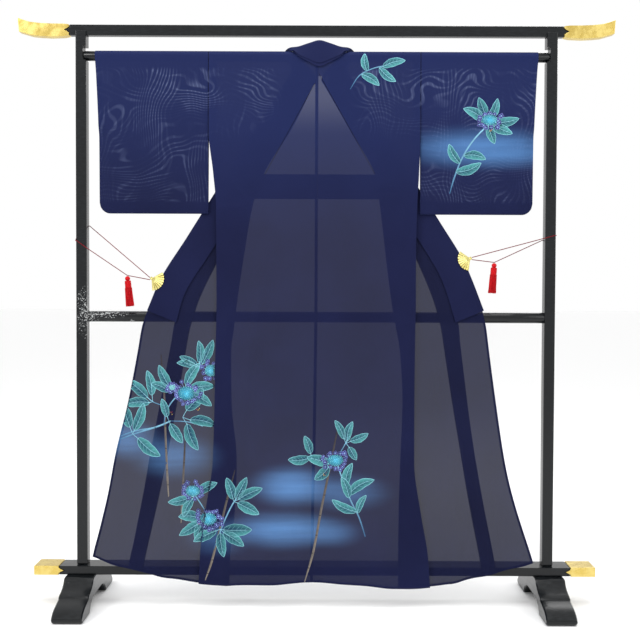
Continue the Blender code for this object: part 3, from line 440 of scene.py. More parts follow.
def seam_and_shadow_line(tree, space, fold):
    """A thin dark line on the cloth: at the armholes a seam, at the V's legs the painted shadow of the folded
    edges behind the back.
    """
    x, _, z = tree.axes(space)
    slope = (fold.x_high - fold.x_low) / (fold.z_high - fold.z_low)
    on_line = tree.maths("MULTIPLY_ADD", z, slope, fold.x_low - fold.z_low * slope)
    off = tree.maths("ABSOLUTE", tree.maths("SUBTRACT", x, on_line))
    above = tree.span(z, fold.z_low - 0.002, fold.z_low)
    below = tree.span(z, fold.z_high, fold.z_high + 0.004, 1.0, 0.0)
    return tree.times(tree.span(off, LINE_HALF * 0.4, LINE_HALF, LINE_DARK, 0.0), tree.times(above, below))


def silk(
    name, alpha, mists=(), figure=0.0, weakest=0.0, glow=None, seam=False, painted_top_light=0.85, folds=(), dark=1.0
):
    """Sheer navy gauze: threads, uneven dye, painted light that makes it lighter and bluer high up, drifts of
    mist, and the figure of two layers painted as light.

    glow holds two heights, between which the alpha falls, and its alpha above them. This is painted light:
    more of the white surround shows through high up, and the cloth is no thinner there.
    """
    tree = Tree(name)
    cloth_at, space = tree.coordinates("UV"), tree.coordinates()
    height = tree.axes(space)[2]
    colour = tree.mix(tree.span(tree.noise(space, 5.0, 3.0), 0.3, 0.7), SILK_DEEP, SILK_NAVY)
    # painted light from above: the silk turns lighter and bluer towards the shoulders
    colour = tree.mix(tree.span(height, 1.05, 1.55, 0.0, painted_top_light), colour, SILK_PAINTED_TOP_LIGHT)
    if seam:
        beads = tree.noise(tree.about(space, size=(0.010, 1.0, 0.016)), 1.0, 1.0)
        colour = tree.mix(tree.span(beads, 0.60, 0.78, 0.0, 0.35), SILK_SEAM, SILK_NAVY)
    # dark lines: seams at the armholes, and painted shadow along the V's legs
    for fold in folds:
        colour = tree.mix(seam_and_shadow_line(tree, space, fold), colour, SILK_SEAM)
    if figure:
        # painted light: the two gauzes' figure, lighter where the light behind would pass through both
        colour = tree.mix(moire(tree, space, figure, weakest), colour, SILK_PAINTED_STREAK_LIGHT)
    for drift in mists:
        colour = tree.mix(mist(tree, space, drift), colour, MIST_BLUE)
    weave = tree.weave(cloth_at, "Y")
    slubs = tree.noise(tree.about(cloth_at, size=(1.0, 0.05, 1.0)), 260.0, 2.0)
    # dark below 1 makes a darker copy of the silk: painted shade
    shade = tree.span(tree.plus(weave, tree.times(slubs, 0.5)), 0.1, 1.0, 0.84 * dark, 1.12 * dark)
    tree.surface(Base_Color=tree.shaded(colour, shade), Roughness=0.62, Specular_IOR_Level=0.06, Alpha=alpha)
    tree.surface(Sheen_Weight=0.08, Sheen_Roughness=0.45, Sheen_Tint=(0.42, 0.55, 1.0))
    # painted light: the alpha falls high up, so more of the white surround shows through the back there
    if glow:
        low, high, thin = glow
        tree.surface(Alpha=tree.span(height, low, high, alpha, thin))
    rumple = tree.noise(space, 38.0, 3.0, 0.4)
    tree.bump(tree.plus(tree.times(weave, 0.10), rumple), 0.35, 0.0012)
    return tree.material


Spot = namedtuple("Spot", "at size")
RUBBED_SPOTS = table(
    Spot,
    ((-0.683, -0.010, 0.880), (0.040, 0.06, 0.090)), ((-0.625, -0.010, 0.874), (0.085, 0.03, 0.014)),
    ((-0.547, -0.005, 0.853), (0.016, 0.03, 0.008)), ((0.690, 0.015, 0.860), (0.030, 0.03, 0.040)),
)
BLACK, BLACK_RUBBED, BLACK_WORN = (0.0034, 0.0043, 0.0052), (0.0066, 0.0082, 0.0098), (0.36, 0.37, 0.37)


def lacquer():
    """Black lacquer with a faint orange peel, fine rubbing, and small scuffs."""
    tree = Tree("black_lacquer")
    space = tree.coordinates()
    rubbed = tree.span(tree.noise(tree.about(space, size=(1.0, 1.0, 0.2)), 60.0, 4.0), 0.35, 0.75)
    scuffs = tree.span(tree.noise(space, 190.0, 3.0, 0.6), 0.73, 0.80)
    worn = tree.times(scuffs, tree.span(tree.noise(space, 3.5, 2.0), 0.58, 0.70))
    grains = tree.noise(space, 230.0, 3.0, 0.6)
    for spot in RUBBED_SPOTS:
        near = tree.near(space, spot.at, spot.size)
        here = tree.span(tree.plus(grains, tree.times(near, 0.15)), 0.63, 0.70)
        worn = tree.maths("MAXIMUM", worn, tree.times(here, tree.span(near, 0.0, 0.15)))
    rough = tree.plus(tree.times(rubbed, 0.10), 0.16)
    tree.surface(
        Base_Color=tree.mix(worn, tree.mix(rubbed, BLACK, BLACK_RUBBED), BLACK_WORN),
        Roughness=tree.plus(rough, tree.times(worn, 0.3)), Specular_IOR_Level=0.26, Coat_Weight=0.08,
        Coat_Roughness=0.08,
    )
    tree.bump(tree.noise(space, 130.0, 2.0), 0.10, 0.0008)
    return tree.material


def gilt(name, deep, pale):
    """Gilt metal, a little uneven, with fine hammering."""
    tree = Tree(name)
    space = tree.coordinates()
    cloud = tree.span(tree.noise(space, 45.0, 3.0), 0.3, 0.7)
    rough = tree.plus(tree.times(cloud, 0.12), 0.24)
    tree.surface(Base_Color=tree.mix(cloud, deep, pale), Metallic=1.0, Roughness=rough)
    tree.bump(tree.noise(space, 320.0, 2.0), 0.25, 0.0006)
    return tree.material


def red_silk(name, red):
    """Twisted red silk thread."""
    tree = Tree(name)
    lean = (0.0, math.radians(35), 0.0)
    twist = tree.wave(tree.about(tree.coordinates(), turn=lean), 420.0, "Z", 1.0)
    colour = tree.mix(twist, tuple(0.5 * part for part in red), red)
    tree.surface(Base_Color=colour, Roughness=0.5, Specular_IOR_Level=0.15)
    tree.bump(twist, 0.5, 0.0004)
    return tree.material


def pale_floor():
    """A matt pale floor."""
    tree = Tree("pale_floor")
    tree.surface(Base_Color=(0.97, 0.97, 0.97), Roughness=0.7, Specular_IOR_Level=0.1)
    return tree.material


def dye():
    """Dye in the silk: the drawn colour, broken a little by threads and by uneven take-up."""
    tree = Tree("dye")
    space = tree.coordinates()
    drawn = tree.node("Attribute", {}, attribute_name="dye").outputs["Color"]
    weave = tree.weave(space, "Z")
    shade = tree.span(tree.plus(tree.times(weave, 0.5), tree.noise(space, 70.0, 3.0)), 0.2, 1.1, 0.72, 1.18)
    tree.surface(Base_Color=tree.shaded(drawn, shade), Roughness=0.62, Specular_IOR_Level=0.06)
    tree.bump(weave, 0.2, 0.0003)
    return tree.material


# ---------------------------------------------------------------- shapes


def ramp(value, low, high):
    """A smooth step from 0 at low to 1 at high."""
    share = np.clip((value - low) / (high - low), 0.0, 1.0)
    return share * share * (3.0 - 2.0 * share)


def column(rows, key, name, at):
    """A table's column at values of its key column, along a curve that doesn't overshoot its rows."""
    x, y = np.array(sorted((getattr(row, key), getattr(row, name)) for row in rows)).T
    slopes = np.diff(y) / np.diff(x)
    before, after = slopes[:-1], slopes[1:]
    rising = before * after > 0
    total = np.where(rising, before + after, 1.0)
    inner = np.where(rising, 2 * before * after / total, 0.0)
    tangents = np.concatenate([slopes[:1], inner, slopes[-1:]])
    at = np.clip(at, x[0], x[-1])
    i = np.clip(np.searchsorted(x, at, side="right") - 1, 0, len(x) - 2)
    span = x[i + 1] - x[i]
    t = (at - x[i]) / span
    return (
        y[i] * (1 + 2 * t) * (1 - t) ** 2
        + span * tangents[i] * t * (1 - t) ** 2
        + y[i + 1] * t * t * (3 - 2 * t)
        + span * tangents[i + 1] * t * t * (t - 1)
    )


def body(side, name, h):
    """A distance out from the centre-back seam, from the table of that side."""
    return column(BODY_ROWS[side], "h", name, h)


def depth(name, h):
    """A depth from the table of layers."""
    return column(DEPTH_ROWS, "h", name, h)


def ridge(folds, x, h):
    """How far the soft folds lift the cloth towards -Y."""
    lift = 0.0
    for fold in folds:
        along = np.clip((fold.top - h) / (fold.top - fold.low), 0.0, 1.0)
        middle = fold.x_top + (fold.x_low - fold.x_top) * along
        lift = lift + fold.high * ramp(along, 0.0, 0.35) * np.exp(-(((x - middle) / fold.half) ** 2))
    return lift


# Fine creases of all the layers together: a soft line from one end to the other, its half width, and its
# height towards -Y, which is negative for a trough.
Crease = namedtuple("Crease", "x0 z0 x1 z1 half high")
BODY_CREASES = table(
    Crease, (-0.292, 1.187, -0.205, 1.192, 0.005, 0.0012), (0.176, 1.238, 0.25, 1.236, 0.006, -0.0012),
    (0.12, 1.655, 0.15, 1.6, 0.012, 0.001), (-0.19, 1.56, -0.15, 1.44, 0.012, -0.001),
    (0.215, 1.56, 0.235, 1.4, 0.014, 0.0012), (-0.275, 1.3, -0.18, 1.12, 0.012, 0.0012),
    (0.29, 1.19, 0.24, 1.02, 0.012, -0.0012), (0.05, 1.19, 0.085, 0.96, 0.012, 0.001),
    (-0.06, 1.13, -0.085, 0.9, 0.01, -0.001), (0.14, 1.12, 0.19, 0.8, 0.016, 0.0012),
    (-0.25, 1.0, -0.285, 0.76, 0.014, 0.0012), (0.285, 0.96, 0.262, 0.7, 0.014, 0.0012),
    (-0.03, 0.8, -0.06, 0.56, 0.014, 0.001), (0.1, 0.78, 0.12, 0.52, 0.018, -0.0012),
    (-0.18, 0.64, -0.205, 0.33, 0.016, 0.0012), (0.25, 0.56, 0.3, 0.25, 0.014, 0.0014),
    (-0.34, 0.76, -0.352, 0.42, 0.016, 0.0018), (-0.5, 0.7, -0.53, 0.38, 0.016, -0.0018),
    (0.345, 0.8, 0.362, 0.48, 0.013, -0.0016), (0.5, 0.74, 0.54, 0.42, 0.016, 0.0018),
    (-0.39, 0.52, -0.4, 0.12, 0.012, -0.0018), (0.44, 0.48, 0.46, 0.14, 0.014, -0.0018),
    (-0.42, 0.9, -0.47, 0.78, 0.012, 0.0014), (0.43, 0.93, 0.47, 0.8, 0.012, 0.0014),
    (-0.06, 0.42, -0.05, 0.12, 0.016, 0.0014), (0.14, 0.36, 0.16, 0.1, 0.014, -0.0014),
    (-0.3, 0.36, -0.33, 0.12, 0.013, 0.0014), (-0.63, 0.42, -0.655, 0.2, 0.013, 0.0014),
)
SLEEVE_CREASES = table(
    Crease, (-0.6, 1.6, -0.56, 1.42, 0.016, 0.001), (-0.48, 1.59, -0.5, 1.33, 0.02, -0.001),
    (-0.39, 1.6, -0.36, 1.38, 0.014, 0.001), (-0.64, 1.3, -0.5, 1.23, 0.014, 0.001),
    (-0.43, 1.29, -0.35, 1.2, 0.014, -0.001), (-0.56, 1.52, -0.43, 1.48, 0.018, 0.0008),
    (0.6, 1.59, 0.58, 1.4, 0.016, 0.001), (0.5, 1.6, 0.47, 1.35, 0.02, -0.001),
    (0.38, 1.59, 0.4, 1.4, 0.014, 0.001), (0.63, 1.29, 0.52, 1.24, 0.014, -0.001),
    (0.42, 1.3, 0.36, 1.21, 0.014, 0.001), (0.54, 1.5, 0.42, 1.47, 0.018, 0.0008),
)


def crease(creases, x, z):
    """How far fine creases move the cloth towards +Y."""
    shift = 0.0
    for line in creases:
        dx, dz = line.x1 - line.x0, line.z1 - line.z0
        long = math.hypot(dx, dz)
        along = ((x - line.x0) * dx + (z - line.z0) * dz) / long ** 2
        off = ((x - line.x0) * dz - (z - line.z0) * dx) / long
        bow = off + 0.06 * long * np.sin(math.pi * np.clip(along, 0.0, 1.0))
        ends = ramp(along, -0.05, 0.30) * (1.0 - ramp(along, 0.65, 1.05))
        shift = shift - line.high * ends * np.exp(-((bow / line.half) ** 2))
    return shift * (1.0 - ramp(z, ROD_Z - 0.06, ROD_Z - 0.02))


def sway(side, out, h):
    """The place along X of a distance out: the cloth's middle is drawn to the right, most of all high up."""
    return CENTRE_X + side * out + column(SWAY_ROWS, "h", "x", h) * np.exp(-((out / SWAY_REACH) ** 2))


def hang(side, out, y, h):
    """Points at a distance out, a depth and a height; above the rod's axis the cloth bends over it."""
    x = sway(side, out, h)
    angle = np.maximum(h - ROD_Z, 0.0) / CLOTH_ON_ROD
    hem = (column(HEM_ROWS, "x", "z", x) - HEM_H) * (1.0 - ramp(h, HEM_H, 0.42))
    z = np.where(h > ROD_Z, ROD_Z + np.abs(y) * np.sin(angle), h + hem)
    return np.stack(np.broadcast_arrays(x, y * np.cos(angle) + crease(BODY_CREASES, x, z), z), axis=-1)


def back_depth(side, out, h):
    """The back's middle surface, with its folds dying out at the side seam."""
    clear = ramp(body(side, "side", h) - out, 0.0, 0.05)
    return depth("back", h) - ridge(BACK_FOLDS, CENTRE_X + side * out, h) * clear


def inner_depth(side, out, h):
    """The front body's first layer, which comes up to the back at the side seam."""
    near_seam = 1.0 - ramp(body(side, "side", h) - out, 0.0, 0.034)
    joined = near_seam * (1.0 - ramp(h, 1.21, 1.30))
    seam = back_depth(side, out, h) + WALL + GAP
    return depth("inner", h) * (1 - joined) + seam * joined


def outer_depth(side, out, h):
    """The turned back layer, the okumi and what hangs on them, with folds where no back covers them."""
    clear = ramp(out - body(side, "side", h), 0.01, 0.07)
    flat = depth("inner", h) + depth("turn", h)
    return flat - ridge(FRONT_FOLDS, CENTRE_X + side * out, h) * clear


def neckline(x):
    """The height over the rod at which the back ends, lowest in the middle of the neck."""
    return TOP_H - NECK_DIP * (1.0 - np.minimum(1.0, np.abs(x - NECK_X) / NECK_HALF) ** 1.6)


LIP = 0.010  # from the front's fold to the seam of the okumi, at the least
BEHIND = 0.0005  # from a layer to the allowance that is pressed against it
ROW_STEP = 0.0068
ROD_STEP = 0.0022
COLUMN_STEP = 0.0065


def spread(low, high, step):
    """Even values from low to high, about a step apart."""
    return np.linspace(low, high, max(2, round(abs(high - low) / step) + 1))


HEIGHTS = np.concatenate([spread(HEM_H, ROD_Z, ROW_STEP), spread(ROD_Z, TOP_H, ROD_STEP)[1:]])


def quads(rows, columns):
    """The corners of the quads between rows of points."""
    index = np.arange(rows * columns).reshape(rows, columns)
    return np.stack([index[:-1, :-1], index[:-1, 1:], index[1:, 1:], index[1:, :-1]], axis=-1).reshape(-1, 4)


def shape_of(mesh):
    shape = bmesh.new()
    shape.from_mesh(mesh)
    return shape


def settle(mesh, shape, sharp=None):
    """Writes a shape into its mesh, smooth but for edges sharper than an angle in degrees."""
    shape.to_mesh(mesh)
    shape.free()
    mesh.shade_smooth()
    if sharp:
        mesh.set_sharp_from_angle(angle=math.radians(sharp))
    return mesh


def shown(name, data, finishes, slot, *nodes):
    """An object that rides on the stand and stands for CAD nodes."""
    made = placed(name, data)
    for finish in finishes:
        data.materials.append(finish)
    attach(made, "root")
    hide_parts(*nodes)
    return made


def cloth(name, grids, finishes, node):
    """A sheet of quads in place of a solid.

    Each grid is (across, up, place, finish): place turns arrays of the two coordinates into points, and
    finish is the number of one of the finishes. Grids join where their points meet.
    """
    points, faces, finish_of, uvs = [], [], [], []
    for across, up, place, finish in grids:
        at = place(*np.meshgrid(across, up))
        corners = quads(*at.shape[:2])
        rises, steps = (np.linalg.norm(np.diff(at, axis=axis), axis=-1) for axis in (0, 1))
        along_u = np.cumsum(np.pad(steps, ((0, 0), (1, 0))), axis=1)
        along_v = np.cumsum(np.pad(rises, ((1, 0), (0, 0))), axis=0)
        uvs.append(np.stack([along_u, along_v], axis=-1).reshape(-1, 2)[corners].reshape(-1, 2))
        faces.append(corners + sum(len(block) for block in points))
        points.append(at.reshape(-1, 3))
        finish_of.append(np.full(len(corners), finish))
    mesh = bpy.data.meshes.new(name)
    mesh.from_pydata(np.concatenate(points).tolist(), [], np.concatenate(faces).tolist())
    layer = mesh.uv_layers.new(name="cloth")
    layer.data.foreach_set("uv", np.concatenate(uvs).astype(np.float32).reshape(-1))
    mesh.polygons.foreach_set("material_index", np.concatenate(finish_of).astype(np.int32))
    shape = shape_of(mesh)
    bmesh.ops.remove_doubles(shape, verts=shape.verts, dist=1e-5)
    return shown(name, settle(mesh, shape), finishes, "silk", node)


def strip(side, low, high, surface, away=0.0):
    """Cloth between two distances out, each a number or a function of height, some way behind a surface."""

    def place(u, h):
        start, end = (edge(h) if callable(edge) else edge for edge in (low, high))
        out = start + (end - start) * u
        return hang(side, out, surface(side, out, h) + away, h)

    return place


def pressed(place, away=lambda u: BEHIND):
    """A layer that lies behind another, by a function of its first coordinate."""

    def pressed_place(u, h):
        at = place(u, h)
        at[..., 1] += away(u)
        return at

    return pressed_place


# ---------------------------------------------------------------- the garment

NECK_SPLIT = 0.58  # share of the back's columns between the centre seam and the neck's corner
NECK_FROM = 1.45  # height above which the back's columns close up towards the neck
SHORTENS_FROM = 1.50  # height above which the back's rows close up under the neckline
SEAM_PULL, SEAM_PULL_HALF = 0.0007, 0.0022  # how far the centre seam draws the back in, and its half width
SIDE_ALLOWANCE = 0.024
CENTRE_ALLOWANCE = 0.008
NECK_ALLOWANCE = 0.004
HEM_TURN = 0.007
HEM_STEP = 0.0035
FOLD_TURN = 0.009
V_TOP = {-1: 1.5785, 1: 1.6117}  # the heights to which the V between the fronts stays open
SEAM_LAP = 0.0012  # how far an allowance reaches past its seam
BELOW_ROD = ROD_Z - 0.02


def body_panel(word, side):
    """One length of cloth: the back from its hem, over the rod beside the neck, and down as the front."""

    def side_out(h):
        return body(side, "side", h)

    def fold_end(h):
        return body(side, "fold", h) + depth("turn", h) / 2

    def back_out(u, h):
        near_neck = ramp(h, NECK_FROM, ROD_Z)
        even = side_out(h) * NECK_SPLIT
        neck = even + (fold_end(TOP_H) - even) * near_neck
        share = np.minimum(u / NECK_SPLIT, 1.0)
        share = share * (1 - near_neck) + (1 - (1 - share) ** 1.8) * near_neck
        before = GAP / 2 + (neck - GAP / 2) * share
        past = neck + (side_out(h) - neck) * np.maximum(u - NECK_SPLIT, 0.0) / (1 - NECK_SPLIT)
        return np.where(u < NECK_SPLIT, before, past)

    def below_neckline(u, out, h):
        limit = np.where(u < NECK_SPLIT, neckline(sway(side, out, h)), TOP_H)
        share = (h - SHORTENS_FROM) / (TOP_H - SHORTENS_FROM)
        return np.where(share > 0, SHORTENS_FROM + share * (limit - SHORTENS_FROM), h)

    def back(u, h):
        out = back_out(u, h)
        h = below_neckline(u, out, h)
        pulled = SEAM_PULL * np.exp(-((out / SEAM_PULL_HALF) ** 2))
        return hang(side, out, back_depth(side, out, h) + pulled, h)

    def neck_allowance(u, h):
        """The cloth left uncut above the V, behind the back neck."""
        out = GAP / 2 + (fold_end(h) + NECK_ALLOWANCE - GAP / 2) * u
        h = below_neckline(u * NECK_SPLIT * 0.99, out, h)
        return hang(side, out, back_depth(side, out, h) + BEHIND * 3, h)

    def front(i, h):
        """Columns 0 to 1 are the inner layer from the side seam, to 2 the turn, to 3 the outer layer."""
        fold, turn = body(side, "fold", h), depth("turn", h)
        seam = np.maximum(body(side, "seam", h) - GAP / 2, fold + LIP)
        inner_out = fold_end(h) + (side_out(h) - fold_end(h)) * (1 - np.minimum(i, 1.0))
        angle = math.pi * np.clip(i - 1, 0.0, 1.0)
        turn_out = fold + turn / 2 * (1 - np.sin(angle))
        turn_y = inner_depth(side, turn_out, h) + turn / 2 * (1 - np.cos(angle))
        outer_out = fold_end(h) + (seam - fold_end(h)) * np.clip(i - 2, 0.0, 1.0)
        out = np.where(i <= 1, inner_out, np.where(i < 2, turn_out, outer_out))
        y = np.where(i <= 1, inner_depth(side, out, h), np.where(i < 2, turn_y, outer_depth(side, out, h)))
        return hang(side, out, y, h)

    front_hem = pressed(front, lambda i: np.where(i <= 1, BEHIND, -BEHIND))
    behind_back = BEHIND + GAP
    back_hem = strip(side, GAP * 2, side_out, back_depth, behind_back)
    side_strip = strip(
        side, lambda h: side_out(h) - SIDE_ALLOWANCE, lambda h: side_out(h) - 0.0004, back_depth, behind_back
    )
    fold_strip = strip(side, fold_end, lambda h: fold_end(h) + FOLD_TURN, inner_depth, BEHIND)
    back_columns = spread(0.0, 1.0, COLUMN_STEP / 0.33)
    hem_heights = spread(HEM_H, HEM_H + HEM_TURN, HEM_STEP)
    up_to_rod = spread(HEM_H, BELOW_ROD, ROW_STEP * 2)
    neck_heights = np.append(spread(V_TOP[side], ROD_Z, ROW_STEP), TOP_H - 0.006)
    grids = [
        (np.append(back_columns[back_columns < NECK_SPLIT], NECK_SPLIT), HEIGHTS, back, 0),
        (np.linspace(NECK_SPLIT, 1.0, 22), HEIGHTS, back, 0),
        (np.linspace(0.0, 1.0, 22), HEIGHTS, front, 1),
        (np.linspace(1.0, 2.0, 9), HEIGHTS, front, 1),
        (np.linspace(2.0, 3.0, 36), HEIGHTS, front, 1),
        (np.linspace(0, 1, 50), hem_heights, back_hem, 0),
        (np.linspace(0, 1, 5), up_to_rod, side_strip, 0),
        (np.linspace(0, 1, 3), spread(0.3, BELOW_ROD, ROW_STEP * 2), fold_strip, 1),
        (np.linspace(0.05, 0.95, 20), hem_heights, front_hem, 1),
        (np.linspace(2.05, 3.0, 36), hem_heights, front_hem, 1),
        (np.linspace(0, 1, 14), neck_heights, neck_allowance, 0),
    ]
    if side < 0:
        centre = strip(side, -SEAM_LAP, CENTRE_ALLOWANCE, back_depth, behind_back)
        grids.append((np.linspace(0, 1, 4), up_to_rod, centre, 2))
    made = cloth("body_panel_" + word, grids, [SILK_BACK, SILK_FRONT, SILK_SEAMS], "body_" + word)
    return made


TUCK_EDGE = 0.006


def tuck(word, side):
    """The length tuck folded inside the back, with its two folded edges."""
    place = strip(side, GAP / 2, lambda h: body(side, "side", h) - TUCK_SHORT, back_depth, WALL + GAP * 2)
    columns = spread(0.0, 1.0, COLUMN_STEP / 0.27)
    grids = [(columns, spread(TUCK_LOW, TUCK_HIGH, ROW_STEP), place, 0)]
    for low in (TUCK_HIGH - TUCK_EDGE, TUCK_LOW):
        grids.append((columns, spread(low, low + TUCK_EDGE, TUCK_EDGE / 2), pressed(place), 0))
    made = cloth("length_tuck_" + word, grids, [SILK_BACK], "tuck_" + word)


OKUMI_TOP = 1.428
EDGE_TURN = 0.0065
EDGE_TURN_TOP = 0.88
# How wide the okumi's allowance is at each height: widest where it is caught under the collar.
OKUMI_HEIGHTS = (0.15, 0.45, 0.80, 0.95, 1.10, 1.43)
OKUMI_ALLOWANCE = {
    -1: (0.042, 0.053, 0.047, 0.056, 0.056, 0.045),
    1: (0.040, 0.040, 0.050, 0.064, 0.060, 0.045),
}


def okumi(word, side):
    """An overlap panel, from the hem to its point under the collar, with its wide seam allowance."""

    def seam_out(h):
        return np.maximum(body(side, "seam", h), body(side, "fold", h) + LIP) + GAP / 2 + GAP

    def edge_out(h):
        return body(side, "edge", h)

    def allowance_end(h):
        wide = np.interp(h, OKUMI_HEIGHTS, OKUMI_ALLOWANCE[side])
        return np.minimum(seam_out(h) + wide, edge_out(h) - EDGE_TURN * 0.1)

    place = strip(side, seam_out, edge_out, outer_depth)
    allowance = strip(side, lambda h: seam_out(h) - SEAM_LAP, allowance_end, outer_depth, BEHIND)
    turned_edge = strip(
        side, lambda h: edge_out(h) - EDGE_TURN, lambda h: edge_out(h) - 0.0002, outer_depth, BEHIND
    )
    heights = spread(HEM_H, OKUMI_TOP, ROW_STEP)
    grids = [
        (np.linspace(0, 1, 26), heights, place, 0),
        (np.linspace(0, 1, 8), heights, allowance, 1),
        (np.linspace(0, 1, 3), spread(HEM_H, EDGE_TURN_TOP, ROW_STEP * 2), turned_edge, 1),
        (np.linspace(0.01, 0.99, 26), spread(HEM_H, HEM_H + HEM_TURN, HEM_STEP), pressed(place), 1),
    ]
    made = cloth("okumi_panel_" + word, grids, [SILK_FRONT, SILK_SEAMS], "okumi_" + word)
    return made


def spline_point(points, place):
    """A point of a smooth curve through points: place 1.5 is halfway from the second to the third."""
    i = min(int(place), len(points) - 2)
    t = place - i
    before = points[i - 1] if i > 0 else points[i] * 2 - points[i + 1]
    after = points[i + 2] if i + 2 < len(points) else points[i + 1] * 2 - points[i]
    a, b = points[i], points[i + 1]
    return 0.5 * (
        2 * a + (b - before) * t + (2 * before - 5 * a + 4 * b - after) * t * t
        + (3 * a - before - 3 * b + after) * t ** 3
    )


def collar_edges(side):
    """The free edge's and the seam's points on one side, from just past the middle of the neck to the end."""
    free, sewn = [], []
    for way, row in ((-side, NECK_ROWS[1]), *((side, row) for row in NECK_ROWS)):
        free.append((NECK_X + way * row.out, row.y, row.z))
        sewn.append((NECK_X + way * row.out_seam, row.y_seam, row.z_seam))
    for row in COLLAR_ROWS[side]:
        for edge, out, z in ((free, row.out, row.z), (sewn, row.out_seam, row.z_seam)):
            edge.append((sway(side, out, z), depth("inner", z) + COLLAR_BEHIND, z))
    return np.array(free, float), np.array(sewn, float)


COLLAR_EDGES = {side: collar_edges(side) for side in (-1, 1)}
COLLAR_SINK = 0.0060  # how far the collar's weight presses it down where it turns over the rod
COLLAR_LIES = 1.50, 1.585  # heights between which the collar leaves the fronts
COLLAR_RIM = 0.985  # share of the collar's width at which it turns over its free edge


def on_panel(z):
    """1 where the collar lies on the fronts, 0 round the neck."""
    return 1.0 - ramp(z, *COLLAR_LIES)


def collar_line(row, across):
    """Points of the collar's middle surface at shares across a row. Row 0 is at the left end."""
    side = -1 if row < COLLAR_MIDDLE else 1
    place = abs(row - COLLAR_MIDDLE)
    whole = min(int(place), len(COLLAR_STEPS) - 2)
    step = COLLAR_STEPS[whole] + (COLLAR_STEPS[whole + 1] - COLLAR_STEPS[whole]) * (place - whole)
    free, sewn = (spline_point(edge, step + 1) for edge in COLLAR_EDGES[side])
    at = sewn + (free - sewn) * across[:, None]
    at[:, 1] += (depth("inner", at[:, 2]) + COLLAR_BEHIND - at[:, 1]) * on_panel(at[:, 2])
    over_rod = np.exp(-(((np.abs(at[:, 0] - NECK_X) - 0.100) / 0.024) ** 2)) * ramp(at[:, 2], 1.650, 1.662)
    at[:, 2] -= COLLAR_SINK * over_rod
    return at


def folded_band(reach, low, near, far):
    """The grid of a band folded over the collar's free edge, near and far from the collar's middle surface.

    It reaches so many rows to each side of the middle one. low and near are functions of the row.
    """
    up, turned_over = np.linspace(0, 1, 10), np.linspace(0, math.pi, 7)[1:-1]
    way = np.concatenate([np.ones(10), np.cos(turned_over), -np.ones(10)])
    first, last = COLLAR_MIDDLE - reach, COLLAR_MIDDLE + reach

    def shares(row):
        start = low(row)
        rise = start + (COLLAR_RIM - start) * up
        return np.concatenate([rise, COLLAR_RIM + (1 - COLLAR_RIM) * np.sin(turned_over), rise[::-1]])

    def place(_, rows):
        at = []
        for row in rows[:, 0]:
            across = shares(row)
            along_way = collar_line(row + 0.1, across) - collar_line(row - 0.1, across)
            across_way = collar_line(row, across + 0.05) - collar_line(row, across - 0.05)
            out = np.cross(along_way, across_way)
            out /= np.linalg.norm(out, axis=1)[:, None]
            away = np.where(way > 0, way * near(row), way * far)
            at.append(collar_line(row, across) + out * away[:, None])
        at = np.array(at)
        at[..., 1] += crease(BODY_CREASES, at[..., 0], at[..., 2]) * on_panel(at[..., 2])
        return at

    return shares(first), np.linspace(first, last, reach * 8 + 1), place, 0


def near_row(row, out, reach):
    """1 at the rows some way out from the middle one, falling to 0 away from them."""
    return math.exp(-(((abs(row - COLLAR_MIDDLE) - out) / reach) ** 2))


def collar():
    """The folded band round the neck and down to both ends, lowest where the neck seam goes over the rod."""
    half = COLLAR_WALL / 2 - GAP

    def low(row):
        return -0.12 - 0.30 * near_row(row, 9, 2.5)

    grid = folded_band(COLLAR_MIDDLE, low, lambda row: half, half)
    made = cloth("collar_band", [grid], [SILK_COLLAR], "collar")


def overcollar():
    """The cover over the collar's middle, folded over its free edge and a little fuller at the shoulders."""
    touching = COLLAR_WALL / 2 + GAP * 2 + WALL / 2
    grid = folded_band(
        OVERCOLLAR_ROWS, lambda row: 0.03, lambda row: touching + 0.0016 * near_row(row, 8, 3.0),
        COLLAR_WALL / 2 + 0.0002,
    )
    made = cloth("overcollar_band", [grid], [SILK_COLLAR], "overcollar")


SLEEVE_BAND = 0.039  # the allowance inside the sleeve's bottom
CUFF_TURN = 0.009


def sleeve_edge(side, h):
    """The sleeve's outer edge, as a distance out from the centre-back seam."""
    return column(SLEEVE_ROWS, "h", "reach", h) - side * CENTRE_X


